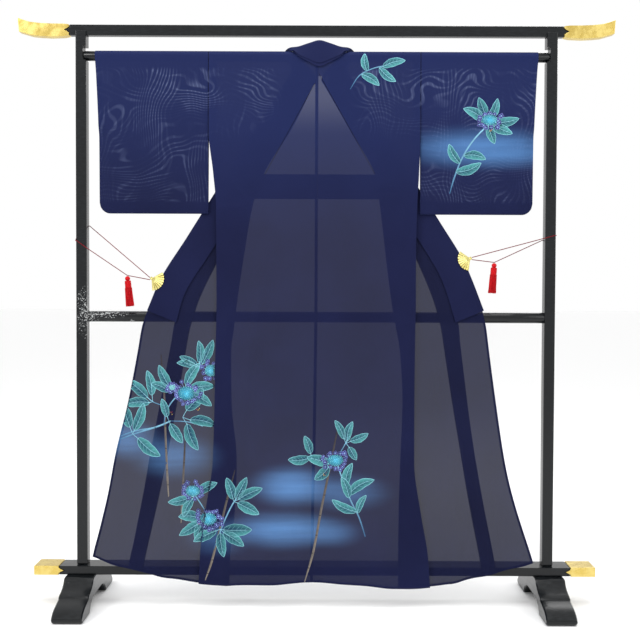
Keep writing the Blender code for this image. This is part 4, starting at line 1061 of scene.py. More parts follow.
def sleeve(word, side):
    """A flat tube over the rod, open at the body side and, above its sewn part, at the cuff."""
    inner = ARMHOLE[side] + GAP
    wide = float(sleeve_edge(side, SLEEVE_BOTTOM)) - inner
    tall = ROD_Z - SLEEVE_BOTTOM

    def place(column_share, loop, inset=0.0):
        """Loop coordinates 0 to 1 go up the near layer, to 2 over the rod, to 3 down, to 4 under the foot."""
        past = np.clip(column_share * wide - (wide - SLEEVE_CORNER_R), 0.0, SLEEVE_CORNER_R)
        low = SLEEVE_BOTTOM + SLEEVE_CORNER_R - np.sqrt(SLEEVE_CORNER_R ** 2 - past ** 2)
        over, far_side, under = (loop > 1) & (loop < 2), (loop >= 2) & (loop <= 3), (loop > 3) & (loop < 4)
        share = np.where(loop <= 1, loop, np.where(over, 1.0, np.where(far_side, 3 - loop, 0.0)))
        h = low + (ROD_Z - low) * (0.004 + 0.996 * share)
        out = inner + (sleeve_edge(side, h) - inner) * column_share
        near, far = column(SLEEVE_ROWS, "h", "near", h), column(SLEEVE_ROWS, "h", "far", h)
        sewn = ramp(column_share, 0.90, 1.0) * (1.0 - ramp(h, CUFF_OPEN_H - 0.03, CUFF_OPEN_H + 0.01))
        middle, half = (near + far) / 2, (far - near) / 2
        half = half * (1 - sewn) + (WALL + GAP) / 2 * 1.1 * sewn - inset
        angle = math.pi * (loop - np.floor(loop))
        y = np.where(over, -half * np.cos(angle), middle + np.where(far_side, half, -half))
        y = np.where(under, middle + half * np.cos(angle), y)
        z = np.where(over, ROD_Z + half * np.sin(angle), h)
        z = np.where(under, h - (half * 0.8) * np.sin(angle), z)
        x = CENTRE_X + side * out
        return np.stack(np.broadcast_arrays(x, y + crease(SLEEVE_CREASES, x, z) * (1 - sewn), z), axis=-1)

    def inside(column_share, loop):
        return place(column_share, loop, BEHIND)

    row_step = ROW_STEP / tall
    rows = spread(0.0, 1.0, row_step)
    over_rod, below = np.linspace(1.0, 2.0, 17)[1:-1], np.linspace(3.0, 4.0, 7)[1:-1]
    round_tube = np.concatenate([rows, over_rod, 3 - rows[::-1], below, [4.0 - 1e-9]])
    columns = np.concatenate([spread(0.0, 0.9, COLUMN_STEP / 0.33), np.linspace(0.9, 1.0, 12)[1:]])
    grids = [(columns, round_tube, place, 0)]
    for across, up in (
        (columns, spread(0.0, SLEEVE_BAND / tall, row_step)),
        (np.linspace(1 - CUFF_TURN / wide, 0.9995, 4), spread(0.02, 1.0, row_step)),
        (np.linspace(0.0005, CUFF_TURN / wide, 4), spread(0.02, 1.0, row_step)),
    ):
        grids += [(across, up, inside, 0), (across, 3 - up, inside, 0)]
    made = cloth("sleeve_tube_" + word, grids, [SILK_SLEEVE[side]], "sleeve_" + word)
    return made


# ---------------------------------------------------------------- the stand

FACET_GAP = 4e-6  # between points of a CAD mesh that are one point
FLAT_TURN = math.radians(0.6)  # between facets of one flat face


def turned(shape, profile, steps, axis=(0, 0, 1)):
    """A shape turned about an axis, from points in the XZ plane whose ends lie on the axis."""
    line = [shape.verts.new((x, 0.0, z)) for x, z in profile]
    edges = [shape.edges.new(pair) for pair in zip(line, line[1:])]
    bmesh.ops.spin(
        shape, geom=line + edges, cent=(0, 0, 0), axis=axis, angle=math.tau, steps=steps, use_merge=True
    )


def finer(name, finish, slot, node):
    """A CAD node's own shape with its facets joined, and smooth over its rounded edges."""
    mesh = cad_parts[node].data.copy()
    mesh.name = name
    mesh.materials.clear()
    for attribute in ("custom_normal", "sharp_face", "sharp_edge"):
        if attribute in mesh.attributes:
            mesh.attributes.remove(mesh.attributes[attribute])
    shape = shape_of(mesh)
    bmesh.ops.remove_doubles(shape, verts=shape.verts, dist=FACET_GAP)
    bmesh.ops.dissolve_limit(
        shape, angle_limit=FLAT_TURN, verts=shape.verts, edges=shape.edges, delimit={"SHARP"}
    )
    made = shown(name, settle(mesh, shape, 38), [finish], slot, node)
    made.modifiers.new("weighted normals", "WEIGHTED_NORMAL").keep_sharp = True


def round_bar(name, node, radius):
    """A smooth round bar along X in place of a faceted one, with rounded rims."""
    low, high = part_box(node)
    rim = 0.0012
    half = (high.x - low.x) / 2
    edge = [(-half, radius - rim), (-half + rim * 0.3, radius - rim * 0.3), (-half + rim, radius)]
    end = [(-half, 0.0)] + edge
    middle = [(-half + half * 2 * k / 12, radius) for k in range(1, 12)]
    profile = end + middle + [(-across, up) for across, up in reversed(end)]
    shape = bmesh.new()
    turned(shape, profile, 64, (1, 0, 0))
    bmesh.ops.remove_doubles(shape, verts=shape.verts, dist=1e-6)
    bmesh.ops.recalc_face_normals(shape, faces=shape.faces)
    bmesh.ops.translate(shape, vec=(low + high) / 2, verts=shape.verts)
    shown(name, settle(bpy.data.meshes.new(name), shape, 50), [LACQUER], "lacquer", node)


def stand():
    """Every hard piece of the stand."""
    round_bar("hanging_rod", "rod", ROD_R)
    round_bar("middle_rail_bar", "middle_rail", RAIL_R)
    finer("top_beam_black", LACQUER, "lacquer", "top_beam")
    finer("bottom_rail_black", LACQUER, "lacquer", "bottom_rail")
    for word, _ in SIDES:
        finer("post_black_" + word, LACQUER, "lacquer", "post_" + word)
        finer("foot_black_" + word, LACQUER, "lacquer", "foot_" + word)
        finer("beam_tip_gilt_" + word, GILT, "gilt", "beam_tip_" + word)
        finer("rail_end_gilt_" + word, GILT, "gilt", "rail_end_" + word)


# ---------------------------------------------------------------- clips, cords and tassels


def cord_path(side):
    """The cord's points: its first end, an arc at each corner of the post, the tassel's bend, its end."""
    reach = POST_ROUND + GAP + CORD_D / 2
    path = [CORD_ENDS[side][0]]
    for corner in CORD_CORNERS[side]:
        for share in (0.0,) if corner.start == corner.end else (0.0, 0.5, 1.0):
            angle = math.radians(corner.start + (corner.end - corner.start) * share)
            out = POST_X + corner.out * (POST_WIDE / 2 - POST_ROUND + reach * math.cos(angle))
            y = corner.y * (POST_DEEP / 2 - POST_ROUND + reach * math.sin(angle))
            path.append((side * out, y, corner.z))
    return [Vector(point) for point in (*path, TASSEL_AT[side], CORD_ENDS[side][1])]


def cord(word, side):
    """A thin cord, with each run taut."""
    curve = bpy.data.curves.new("red_cord_" + word, "CURVE")
    curve.dimensions = "3D"
    curve.bevel_depth = CORD_D / 2
    curve.bevel_resolution = 4
    curve.use_fill_caps = True
    points = cord_path(side)
    spline = curve.splines.new("POLY")
    spline.points.add(len(points) - 1)
    for spline_end, point in zip(spline.points, points):
        spline_end.co = (*point, 1.0)
    made = shown("red_cord_" + word, curve, [CORD_SILK], "red_silk", "cord_" + word)


def tube(shape, path, radii, sides):
    """A round tube along points, with a radius at each, closed at both ends."""
    rings = []
    for k, (at, radius) in enumerate(zip(path, radii)):
        turn = (path[min(k + 1, len(path) - 1)] - path[max(k - 1, 0)]).normalized().to_track_quat("Z", "Y")
        angles = [math.tau * s / sides for s in range(sides)]
        corners = [Vector((radius * math.cos(angle), radius * math.sin(angle), 0)) for angle in angles]
        rings.append([shape.verts.new(at + turn @ corner) for corner in corners])
    for low, high in zip(rings, rings[1:]):
        for s in range(sides):
            shape.faces.new((low[s], low[(s + 1) % sides], high[(s + 1) % sides], high[s]))
    shape.faces.new(rings[0][::-1])
    shape.faces.new(rings[-1])


GOLDEN_ANGLE = 2.39996  # radians
SKIRT_R = 0.0102  # the tassel's skirt where it leaves the head
STRAND_R, STRAND_TIP_R = 0.00052, 0.00034
WINDINGS = 14  # of thread round the tassel's head


def tassel(word, side):
    """A tassel: a wound bead, a head bound with thread, and fine strands."""
    draw = random.Random(7 + side)
    lean = TASSEL_LEAN[side]
    down = Vector((math.sin(lean), 0.0, -math.cos(lean)))
    half = TASSEL_HEAD_TALL / 2
    lift = TASSEL_BEAD_R * 0.8 + half
    head_at = Vector(TASSEL_AT[side]) + down * (TASSEL_BELOW[side] + lift)
    shape = bmesh.new()
    bead = []
    for angle in np.linspace(0, math.pi, 33).tolist():
        radius = TASSEL_BEAD_R * (1.0 + 0.03 * math.cos(angle * 16))
        bead.append((radius * math.sin(angle), lift + TASSEL_BEAD_R * math.cos(angle)))
    turned(shape, bead, 28)
    head = [(0.0, half), (TASSEL_HEAD_R * 0.75, half)]
    for k in range(WINDINGS * 4 + 1):
        up = half - 0.001 - (TASSEL_HEAD_TALL - 0.002) * k / (WINDINGS * 4)
        round_top = TASSEL_HEAD_R * (0.94 + 0.05 * math.cos(up / half * 1.2))
        head.append((round_top + 0.00022 * math.cos(k * math.pi / 2), up))
    turned(shape, head + [(TASSEL_HEAD_R * 0.8, -half), (0.0, -half)], 28)
    for k in range(STRANDS):
        radius = SKIRT_R * math.sqrt((k + 0.5) / STRANDS)
        angle = k * GOLDEN_ANGLE
        flare = TASSEL_FLARE * draw.uniform(0.86, 1.02)
        long = TASSEL_STRAND_LONG - 0.0045 - draw.uniform(0.0, 0.003)
        bend_high, phase = draw.uniform(0.0002, 0.0006), draw.uniform(0, math.tau)
        path = []
        for share in (s / 7 for s in range(8)):
            out = radius * (1 + (flare - 1) * share)
            bend = bend_high * math.sin(phase + share * 4.0) * share
            z = 0.001 - half - long * share
            path.append(Vector((out * math.cos(angle) + bend, out * math.sin(angle) - bend, z)))
        tube(shape, path, [STRAND_R] * 7 + [STRAND_TIP_R], 5)
    bmesh.ops.recalc_face_normals(shape, faces=shape.faces)
    place = Matrix.Translation(head_at) @ Matrix.Rotation(-lean, 4, "Y")
    bmesh.ops.transform(shape, matrix=place, verts=shape.verts)
    name = "silk_tassel_" + word
    shown(name, settle(bpy.data.meshes.new(name), shape, 50), [TASSEL_SILK], "red_silk", "tassel_" + word)


RIBS = 9
PLEAT_AT, PLEAT_UP = (0.0, 0.13, 0.50, 0.87), (-1.0, -0.2, 1.0, -0.2)  # across a pleat, from valley to valley
PLEAT_HIGH = 0.00085
LEAF_RADII = (0.28, 0.32, 0.46, 0.60, 0.74, 0.86, 0.955, 1.0)  # shares of the fan's radius
LEAF_RIMS = (0.32, 0.955)  # where a thin band stands up along the leaf
RIM_HIGH = 0.00025
LEAF_HALF = 0.00028  # half the leaf's thickness
RIVET = ((0.0, 0.0010), (0.0018, 0.0009), (0.0026, 0.0004), (0.0028, -0.0006), (0.0, -0.0008))
BARREL = ((-0.0056, -0.0045), (-0.0056, 0.0045), (0.001, 0.0045), (0.001, -0.0045))  # meets the cord's ends


def polar(radius, angle):
    return radius * math.cos(angle), radius * math.sin(angle)


def plate(shape, outline, thickness, up):
    """A flat outline with thickness, its middle at a height over the fan's plane."""
    low, high = ([shape.verts.new((a, b, up + face * thickness / 2)) for a, b in outline] for face in (-1, 1))
    shape.faces.new(low[::-1])
    shape.faces.new(high)
    for k in range(len(outline)):
        shape.faces.new((low[k - 1], low[k], high[k], high[k - 1]))


def fan_leaf(shape):
    """The pleated leaf, near and far face, with its valleys in the second finish, a darker gilt that is
    painted shade.
    """
    for face_side in (1, -1):
        rows = []
        for radius in LEAF_RADII:
            row = []
            for k in range(4 * RIBS + 1):
                along = k // 4 + PLEAT_AT[k % 4]
                scallop = 0.925 + 0.075 * abs(math.sin(math.pi * along)) ** 0.5 if radius == 1.0 else 1.0
                rim = RIM_HIGH if radius in LEAF_RIMS else 0.0
                high = face_side * (LEAF_HALF + rim) + PLEAT_HIGH * radius * PLEAT_UP[k % 4]
                at = polar(CLIP_R * radius * scallop, CLIP_SPREAD * (2 * along / RIBS - 1))
                row.append(shape.verts.new((*at, high)))
            rows.append(row)
        for low, high in zip(rows, rows[1:]):
            for k in range(len(low) - 1):
                face = shape.faces.new((low[k], low[k + 1], high[k + 1], high[k])[::face_side])
                # the valley faces take the darker gilt: painted shade
                face.material_index = int(k % 4 in (0, 3))


def clip(word, side):
    """A gold clip like a folding fan: pleated leaf, ribs, guards and rivet, with a plain jaw behind."""
    x, z = CLIP_PIVOT[side]
    lean = math.atan(float(depth("inner", z + 0.02) - depth("inner", z - 0.02)) / 0.04)
    clear = COLLAR_WALL / 2 + GAP * 4 + CLIP_PLATE / 2
    upright = Matrix.Rotation(-lean, 3, "X") @ Matrix.Rotation(-CLIP_TURN[side], 3, "Y")
    facing = (upright @ Matrix.Rotation(math.pi / 2, 3, "X")).to_4x4()
    pivot = Vector((x, float(depth("inner", z)) + COLLAR_BEHIND, z)) + upright @ Vector((0.0, -clear, 0.0))
    shape = bmesh.new()
    fan_leaf(shape)
    for k in range(RIBS + 1):
        angle = CLIP_SPREAD * (2 * k / RIBS - 1)
        wide, far, thick = (0.0013, 0.99, 0.0011) if k in (0, RIBS) else (0.0008, 0.34, 0.0007)
        way, off = Vector(polar(CLIP_R, angle)), Vector(polar(wide, angle + math.pi / 2))
        corners = (way * 0.05 - off * 0.8, way * far - off, way * far + off, way * 0.05 + off * 0.8)
        plate(shape, corners, thick, 0.0)
    turned(shape, RIVET, 20)
    jaw = [polar(CLIP_R * 0.70, CLIP_SPREAD * 0.6 * (k / 6 - 1)) for k in range(13)]
    jaw += [polar(CLIP_R * 0.10, CLIP_SPREAD + math.pi / 2 + 1.2 * k) for k in range(2)]
    plate(shape, jaw, 0.0008, -2 * clear)
    plate(shape, BARREL, 2 * clear, -clear)
    bmesh.ops.recalc_face_normals(shape, faces=shape.faces)
    bmesh.ops.transform(shape, matrix=Matrix.Translation(pivot) @ facing, verts=shape.verts)
    name = "fan_clip_" + word
    mesh = settle(bpy.data.meshes.new(name), shape, 32)
    shown(name, mesh, [FAN_GOLD, FAN_SHADE], "clip_metal", "clip_" + word)


# ---------------------------------------------------------------- the dyed sprays

DYE_LIFT = 0.00022  # from the cloth to the lowest dye; each further layer lies half of this above the last
SAME_FOLD = 0.004  # quads of dye whose corners lie further apart in depth are left out, as they bridge a gap
LEAF_DEEP, LEAF_BRIGHT = np.array(((0.010, 0.034, 0.082), (0.090, 0.365, 0.360)))
LEAF_LINE = np.array((0.280, 0.640, 0.740))
HEAD_DEEP, HEAD_BRIGHT = np.array(((0.026, 0.200, 0.310), (0.280, 0.720, 0.780)))
FLORET_DEEP, FLORET_LINE = np.array(((0.030, 0.036, 0.150), (0.230, 0.260, 0.640)))
STEM_FAR, STEM_NEAR = np.array(((0.050, 0.130, 0.260), (0.200, 0.430, 0.580)))
STAKE_DARK, STAKE_PALE = np.array(((0.030, 0.027, 0.034), (0.190, 0.165, 0.140)))
GOLD_DOT, RED_DOT = np.array(((0.620, 0.420, 0.100), (0.420, 0.030, 0.050)))
VEINS = 5  # on each side of a leaf's midrib
BEADS = 72  # in the middle of a flower head


def way_at(angle):
    """A unit vector at an angle in radians."""
    return np.array((math.cos(angle), math.sin(angle)))


def ring(sides):
    """Points round a unit circle, the last on the first."""
    turn = np.linspace(0, math.tau, sides + 1)
    return np.stack([np.cos(turn), np.sin(turn)], axis=-1)


class Sketch:
    """Flat shapes drawn in X and Z, with a colour at each point. A higher layer lies over a lower one."""

    def __init__(self, seed):
        self.draw = random.Random(seed)
        self.points, self.colours, self.layers, self.faces = [], [], [], []

    def grid(self, at, colour, layer):
        """Quads between rows of points."""
        rows, columns = at.shape[:2]
        self.faces.append(quads(rows, columns) + sum(len(block) for block in self.points))
        self.points.append(at.reshape(-1, 2))
        self.colours.append(np.broadcast_to(colour, at.shape[:2] + (3,)).reshape(-1, 3))
        self.layers.append(np.full(rows * columns, layer))

    def line(self, at, wide, first, last, layer, ends=(0.3, 0.3)):
        """A stroke along points, from one colour to another, with its width's shares at its ends."""
        way = np.gradient(at, axis=0)
        way /= np.linalg.norm(way, axis=1)[:, None]
        share = np.linspace(0, 1, len(at))
        half = wide / 2 * np.interp(share, (0.0, 0.2, 0.8, 1.0), (ends[0], 1.0, 1.0, ends[1]))
        off = np.stack([-way[:, 1], way[:, 0]], axis=-1) * half[:, None]
        colour = first + (last - first) * share[:, None]
        self.grid(np.stack([at - off, at + off], axis=1), np.stack([colour, colour], axis=1), layer)

    def disc(self, middle, radius, colour, layer, sides=8, rim=None):
        """A filled round spot, with a stroke round it where a rim colour is given."""
        edge = ring(sides) * radius
        self.grid(np.stack([middle + edge * 0.02, middle + edge]), colour, layer)
        if rim is not None:
            small = np.min(radius)
            inner = 1 - (0.14 * small + 0.0002) / small
            self.grid(np.stack([middle + edge * inner, middle + edge]), rim, layer + 1)

    def leaf(self, foot, angle, long, wide, bend=0.10, layer=2, dark=0.0):
        """A pointed leaf from its foot: shaded halves, a pale outline, a midrib and curved veins."""
        way = way_at(math.radians(angle))
        off = np.array((-way[1], way[0]))

        def at(t, c):
            """Points at shares of the leaf's length and, from -1 to 1, of its width."""
            t, c = np.broadcast_arrays(t, c)
            half = wide / 2 * 1.90 * t ** 0.62 * (1 - t) ** 0.78 * (1 + 0.035 * np.sin(t * 19 + c))
            rib = bend * long * np.sin(math.pi * t * 0.9)
            return np.array(foot) + way * (t * long)[..., None] + off * (rib + half * c)[..., None]

        t, c = np.meshgrid(np.linspace(0.0, 1.0, 17), np.linspace(-1, 1, 9), indexing="ij")
        lit = self.draw.choice((-1, 1))
        shade = 0.02 + 0.46 * np.abs(c) ** 1.3 + 0.28 * t + 0.24 * (c * lit > 0) - dark
        shade = np.clip(shade, 0.0, 1.0)[..., None]
        self.grid(at(t, c), LEAF_DEEP + (LEAF_BRIGHT - LEAF_DEEP) * shade, layer)
        t, s = np.linspace(0.0, 1.0, 17), np.linspace(0, 1, 5)
        pale = LEAF_LINE * (1.0 - dark)
        for c in (-1, 1):
            self.line(at(t, c * 0.985), 0.0011, pale * 0.65, pale, layer + 1, (1, 1))
            for k in range(VEINS):
                start, reach = 0.12 + 0.155 * k, self.draw.uniform(0.13, 0.17)
                vein = at(start + reach * s ** 0.8, c * 0.88 * s)
                self.line(vein, 0.0006, pale * 0.75, pale * 0.50, layer + 1)
        self.line(at(t * 0.97, 0 * t), 0.0013, pale * 0.9, pale * 0.8, layer + 1, (1, 0.3))

    def floret(self, middle, size, layer):
        """A small flower of four or five round petals."""
        petals, turn = self.draw.choice((4, 4, 5)), self.draw.uniform(0, math.tau)
        for k in range(petals):
            at = middle + way_at(turn + math.tau * k / petals) * size * 0.52
            shade = self.draw.uniform(0.6, 1.3)
            self.disc(at, size * 0.40, FLORET_DEEP * shade, layer, 8, FLORET_LINE * shade)
        self.disc(middle, size * 0.14, HEAD_BRIGHT, layer + 2, 6)

    def head(self, middle, half, florets=13, layer=8):
        """A lacecap head: fertile beads in the middle, and florets round them."""
        middle, half = np.array(middle), np.array(half)
        for k in range(florets):
            way = way_at(math.tau * (k + self.draw.uniform(-0.3, 0.3)) / florets)
            at = middle + way * half * self.draw.uniform(0.80, 1.30)
            self.line(np.linspace(middle, at, 6), 0.0008, STEM_NEAR, FLORET_LINE, layer - 1)
            self.floret(at, self.draw.uniform(0.0068, 0.0092), layer)
        colours = [HEAD_DEEP * 2.2, HEAD_DEEP * 1.5, HEAD_DEEP, HEAD_DEEP * 0.5]
        rings = np.stack([middle + ring(24) * half * share for share in (0.02, 0.30, 0.55, 0.72)])
        self.grid(rings, np.array(colours)[:, None], layer + 3)
        for k in range(BEADS):
            at = middle + way_at(k * GOLDEN_ANGLE) * half * 0.74 * math.sqrt((k + 0.5) / BEADS)
            colour = HEAD_BRIGHT * self.draw.uniform(0.45, 1.00)
            self.disc(at, self.draw.uniform(0.0010, 0.0015), colour, layer + 4, 6)

    def twig(self, points, wide, layer=1, far=STEM_FAR, near=STEM_NEAR, ends=(0.5, 0.9)):
        """A smooth stem through points, with a paler edge."""
        points = [np.array(point) for point in points]
        steps = max(8, round(sum(np.linalg.norm(b - a) for a, b in zip(points, points[1:])) / 0.004))
        at = np.array([spline_point(points, place) for place in np.linspace(0, len(points) - 1.0001, steps)])
        self.line(at, wide, far, near, layer, ends)
        self.line(at + wide * 0.28, wide * 0.25, far * 1.3, np.minimum(near * 1.5, 0.8), layer + 1, ends)
        return at

    def stake(self, points, wide):
        """A thin bare stake with joints."""
        at = self.twig(points, wide, 0, STAKE_DARK, STAKE_PALE, (0.35, 0.35))
        for k in range(6, len(at) - 6, 14):
            across = at[k] + np.array((self.draw.uniform(-0.2, 0.2), 0.0)) * wide
            self.disc(across, np.array((0.55 * wide, 0.0012)), STAKE_DARK * 0.8, 2, 6)

    def dots(self, middle, layer=8):
        """A few grains of gold and red."""
        for k in range(7):
            at = np.array(middle) + np.array([self.draw.uniform(-0.005, 0.005) for _ in range(2)])
            self.disc(at, self.draw.uniform(0.0007, 0.0013), RED_DOT if k % 3 == 2 else GOLD_DOT, layer, 6)

    def cluster(self, foot, leaves, layer=2, stalk=0.010):
        """Leaves on short stalks about one foot: (angle, length, width) of each."""
        foot = np.array(foot)
        for angle, long, wide in leaves:
            way = way_at(math.radians(angle))
            away = foot + way * stalk * self.draw.uniform(0.6, 1.5)
            path = np.linspace(foot, away + way * 0.004, 6)
            self.line(path, 0.0014, STEM_NEAR, LEAF_LINE, layer + 2, (1, 1))
            bend, dark = self.draw.uniform(-0.10, 0.10), self.draw.uniform(-0.04, 0.16)
            self.leaf(away, angle + self.draw.uniform(-9, 9), long, wide * 1.12, bend, layer, dark)


def dyed(name, sketch, pieces, stops_at_seam=0):
    """Lays a sketch on both faces of pieces of cloth; on the near face it may stop at a side seam."""
    drawn = (sketch.points, sketch.layers, sketch.faces, sketch.colours)
    flat, layers, faces, tints = (np.concatenate(blocks) for blocks in drawn)
    meshes = [piece.data for piece in pieces]
    surfaces = [
        BVHTree.FromPolygons([v.co for v in mesh.vertices], [tuple(p.vertices) for p in mesh.polygons])
        for mesh in meshes
    ]
    points, kept = [], []
    for face_side in (-1, 1):
        at = np.full((len(flat), 3), np.nan)
        for k, ((x, z), layer) in enumerate(zip(flat, layers)):
            start, way = Vector((x, 0.3 * face_side, z)), Vector((0, -face_side, 0))
            found = [hit[0].y for hit in (surface.ray_cast(start, way) for surface in surfaces) if hit[0]]
            if found:
                y = (min if face_side < 0 else max)(found)
                at[k] = x, y + face_side * DYE_LIFT * (1 + layer * 0.5), z
        if stops_at_seam and face_side < 0:
            hidden = stops_at_seam * (at[:, 0] - CENTRE_X) < body(stops_at_seam, "side", at[:, 2]) + 0.0015
            at[hidden] = np.nan
        depths = at[faces, 1]
        whole = ~np.isnan(depths).any(axis=1)
        whole[whole] = np.ptp(depths[whole], axis=1) < SAME_FOLD
        kept.append(faces[whole][:, ::-face_side] + len(flat) * len(points))
        points.append(np.nan_to_num(at))
    mesh = bpy.data.meshes.new(name)
    mesh.from_pydata(np.concatenate(points).tolist(), [], np.concatenate(kept).tolist())
    layer = mesh.color_attributes.new("dye", "FLOAT_COLOR", "POINT")
    tints = np.tile(np.column_stack([tints, np.ones(len(tints))]), (2, 1))
    layer.data.foreach_set("color", tints.astype(np.float32).reshape(-1))
    shape = shape_of(mesh)
    bmesh.ops.delete(shape, geom=[v for v in shape.verts if not v.link_faces], context="VERTS")
    shown(name, settle(mesh, shape), [DYE], "silk")


def sprays(cloths):
    """The sprays of lacecap flowers: their places follow the garment, and each is drawn afresh."""
    body_left, body_right, okumi_left, sleeve_right = cloths
    sketch = Sketch(11)
    sketch.twig([(0.398, 1.236), (0.412, 1.285), (0.436, 1.345), (0.470, 1.398), (0.512, 1.442)], 0.0046)
    sketch.leaf((0.428, 1.326), 118, 0.066, 0.034)
    sketch.leaf((0.416, 1.300), 22, 0.080, 0.040, -0.10)
    sketch.leaf((0.440, 1.350), -12, 0.066, 0.036, 0.12, 4)
    sketch.cluster((0.508, 1.446), (
        (148, 0.074, 0.036), (104, 0.066, 0.034), (62, 0.070, 0.030), (14, 0.084, 0.036), (-24, 0.074, 0.036),
        (-66, 0.058, 0.032)))
    sketch.head((0.515, 1.455), (0.031, 0.022), 14)
    sketch.dots((0.520, 1.424))
    dyed("spray_right_sleeve", sketch, [sleeve_right])

    sketch = Sketch(12)
    sketch.twig([(0.100, 1.544), (0.128, 1.585), (0.172, 1.607), (0.220, 1.616), (0.246, 1.622)], 0.0032)
    sketch.leaf((0.150, 1.598), 96, 0.052, 0.030)
    sketch.leaf((0.134, 1.589), -34, 0.062, 0.034, 0.08)
    sketch.leaf((0.186, 1.608), -38, 0.064, 0.032, -0.08)
    sketch.leaf((0.196, 1.611), 14, 0.070, 0.034, 0.08)
    dyed("twig_right_shoulder", sketch, [body_right])

    sketch = Sketch(13)
    sketch.stake([(0.069, 0.545), (0.044, 0.420), (0.018, 0.290), (-0.004, 0.170), (-0.030, 0.078)], 0.0068)
    sketch.twig([(0.150, 0.214), (0.132, 0.270), (0.105, 0.325), (0.082, 0.385), (0.064, 0.436)], 0.0040)
    sketch.leaf((0.124, 0.288), 152, 0.082, 0.036, 0.08)
    sketch.leaf((0.126, 0.284), 62, 0.060, 0.028)
    sketch.leaf((0.102, 0.330), 112, 0.066, 0.034, -0.06, 4)
    sketch.leaf((0.098, 0.340), 28, 0.090, 0.040, 0.10)
    sketch.leaf((0.090, 0.362), 72, 0.074, 0.036)
    sketch.twig([(0.066, 0.450), (0.086, 0.484), (0.104, 0.516)], 0.0026)
    sketch.cluster((0.092, 0.492), (
        (114, 0.062, 0.026), (68, 0.060, 0.028), (24, 0.058, 0.028), (-52, 0.044, 0.028)))
    sketch.twig([(0.052, 0.436), (0.016, 0.444), (-0.020, 0.452)], 0.0024)
    sketch.cluster((-0.010, 0.448), ((104, 0.056, 0.030), (186, 0.064, 0.034)))
    sketch.cluster((0.052, 0.430), ((172, 0.070, 0.038), (214, 0.058, 0.036)), 4)
    sketch.head((0.060, 0.442), (0.033, 0.023), 16)
    sketch.dots((0.030, 0.400))
    dyed("spray_centre_back", sketch, [body_left, body_right])

    sketch = Sketch(14)
    bare = [(-0.462, 0.752), (-0.452, 0.640), (-0.446, 0.520), (-0.440, 0.400), (-0.436, 0.330)]
    sketch.stake(bare, 0.0060)
    for rise in (0.0, 0.008):
        stem = [(-0.600, 0.494 + rise), (-0.540, 0.516 + rise), (-0.480, 0.535), (-0.430, 0.556)]
        sketch.twig(stem, 0.0045)
    sketch.twig([(-0.452, 0.541), (-0.444, 0.585), (-0.420, 0.622), (-0.392, 0.640)], 0.0036)
    sketch.twig([(-0.430, 0.556), (-0.380, 0.552), (-0.336, 0.540)], 0.0030)
    sketch.twig([(-0.452, 0.600), (-0.486, 0.612), (-0.510, 0.632)], 0.0026)
    sketch.cluster((-0.486, 0.612), ((142, 0.082, 0.038), (196, 0.078, 0.036), (96, 0.076, 0.034)), 2, 0.016)
    sketch.cluster((-0.426, 0.640), ((118, 0.076, 0.034), (158, 0.060, 0.032)), 4, 0.016)
    sketch.cluster((-0.396, 0.644), ((64, 0.078, 0.036), (12, 0.082, 0.038), (-32, 0.080, 0.038)), 3, 0.018)
    sketch.cluster((-0.396, 0.566), ((62, 0.084, 0.046), (-20, 0.080, 0.038), (-58, 0.086, 0.040)), 2, 0.016)
    sketch.cluster((-0.436, 0.556), ((112, 0.056, 0.028), (-66, 0.068, 0.034)), 4)
    sketch.cluster((-0.545, 0.516), ((112, 0.084, 0.042), (66, 0.086, 0.036), (-40, 0.086, 0.042)), 2, 0.014)
    sketch.twig([(-0.350, 0.700), (-0.336, 0.748), (-0.316, 0.772)], 0.0026)
    sketch.cluster((-0.344, 0.716), (
        (148, 0.058, 0.028), (102, 0.066, 0.030), (58, 0.078, 0.032), (172, 0.060, 0.026)))
    sketch.head((-0.386, 0.638), (0.034, 0.028), 17)
    sketch.head((-0.428, 0.655), (0.012, 0.010), 7)
    sketch.head((-0.312, 0.706), (0.026, 0.024), 11)
    sketch.dots((-0.350, 0.590))
    sketch.dots((-0.430, 0.578))
    dyed("spray_left_front", sketch, [body_left, okumi_left], -1)

    sketch = Sketch(15)
    bare = [(-0.238, 0.412), (-0.262, 0.320), (-0.286, 0.220), (-0.306, 0.140), (-0.326, 0.082)]
    sketch.stake(bare, 0.0066)
    sketch.stake([(-0.388, 0.520), (-0.392, 0.420), (-0.396, 0.330), (-0.400, 0.250)], 0.0055)
    sketch.twig([(-0.300, 0.176), (-0.282, 0.226), (-0.262, 0.276), (-0.240, 0.318), (-0.214, 0.352)], 0.0040)
    sketch.twig([(-0.314, 0.262), (-0.336, 0.300), (-0.362, 0.338)], 0.0030)
    sketch.cluster((-0.240, 0.318), (
        (112, 0.066, 0.034), (64, 0.070, 0.032), (28, 0.078, 0.036), (-24, 0.072, 0.038)))
    sketch.cluster((-0.282, 0.236), (
        (-8, 0.084, 0.046), (-40, 0.074, 0.036), (-86, 0.072, 0.036), (206, 0.078, 0.036)), 3)
    sketch.cluster((-0.330, 0.262), ((172, 0.070, 0.040), (214, 0.078, 0.036), (250, 0.062, 0.034)))
    sketch.cluster((-0.362, 0.330), ((196, 0.066, 0.032), (246, 0.062, 0.030), (34, 0.074, 0.034)))
    sketch.head((-0.365, 0.346), (0.030, 0.022), 13)
    sketch.head((-0.317, 0.266), (0.034, 0.025), 16)
    sketch.dots((-0.345, 0.248))
    dyed("spray_left_hem", sketch, [body_left, okumi_left])


# ---------------------------------------------------------------- everything

camera()
studio()
SILK_BACK = silk(
    "silk_back", 0.981, BODY_MISTS, figure=0.50, glow=(1.40, 1.54, 0.922),
    # the V's legs are painted shadow lines, the armhole lines are seams
    folds=V_LEG_SHADOW_LINES + tuple(ARMHOLE_LINES.values()),
)
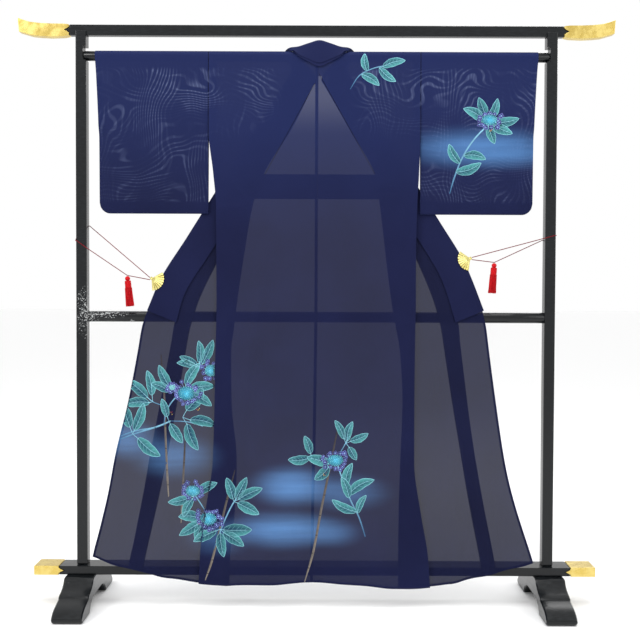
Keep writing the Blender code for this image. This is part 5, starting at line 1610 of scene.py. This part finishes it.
# the fronts are a darker copy of the same silk (dark=0.78): painted shade
SILK_FRONT = silk("silk_front", 0.953, BODY_MISTS, dark=0.78)
SILK_SEAMS = silk("silk_seams", 0.975, seam=True)
SILK_COLLAR = silk("silk_collar", 1.0, painted_top_light=0.25)
SILK_SLEEVE = {
    # the left sleeve is a darker copy of the same silk (dark=0.92): painted shade
    -1: silk("silk_sleeve_left", 0.962, figure=0.70, weakest=0.42, dark=0.92, folds=(ARMHOLE_LINES[-1],)),
    1: silk("silk_sleeve_right", 0.962, SLEEVE_MISTS, figure=0.55, weakest=0.55, folds=(ARMHOLE_LINES[1],)),
}
LACQUER, DYE = lacquer(), dye()
GILT = gilt("gilt", (0.60, 0.44, 0.110), (0.72, 0.57, 0.190))
FAN_GOLD = gilt("fan_gold", (0.66, 0.56, 0.170), (0.80, 0.73, 0.300))
# painted shade: the darker gilt of the fan's pleat valleys
FAN_SHADE = gilt("fan_shade", (0.120, 0.088, 0.022), (0.220, 0.170, 0.055))
TASSEL_SILK = red_silk("tassel_silk", (0.680, 0.0050, 0.0110))
CORD_SILK = red_silk("cord_silk", (0.200, 0.0040, 0.0120))

for word, side in SIDES:
    cord(word, side)
stand()
collar()
overcollar()
panels = {}
for word, side in SIDES:
    panels[side] = [body_panel(word, side), okumi(word, side), sleeve(word, side)]
    tuck(word, side)
    clip(word, side)
    tassel(word, side)
sprays((panels[-1][0], panels[1][0], panels[-1][1], panels[1][2]))
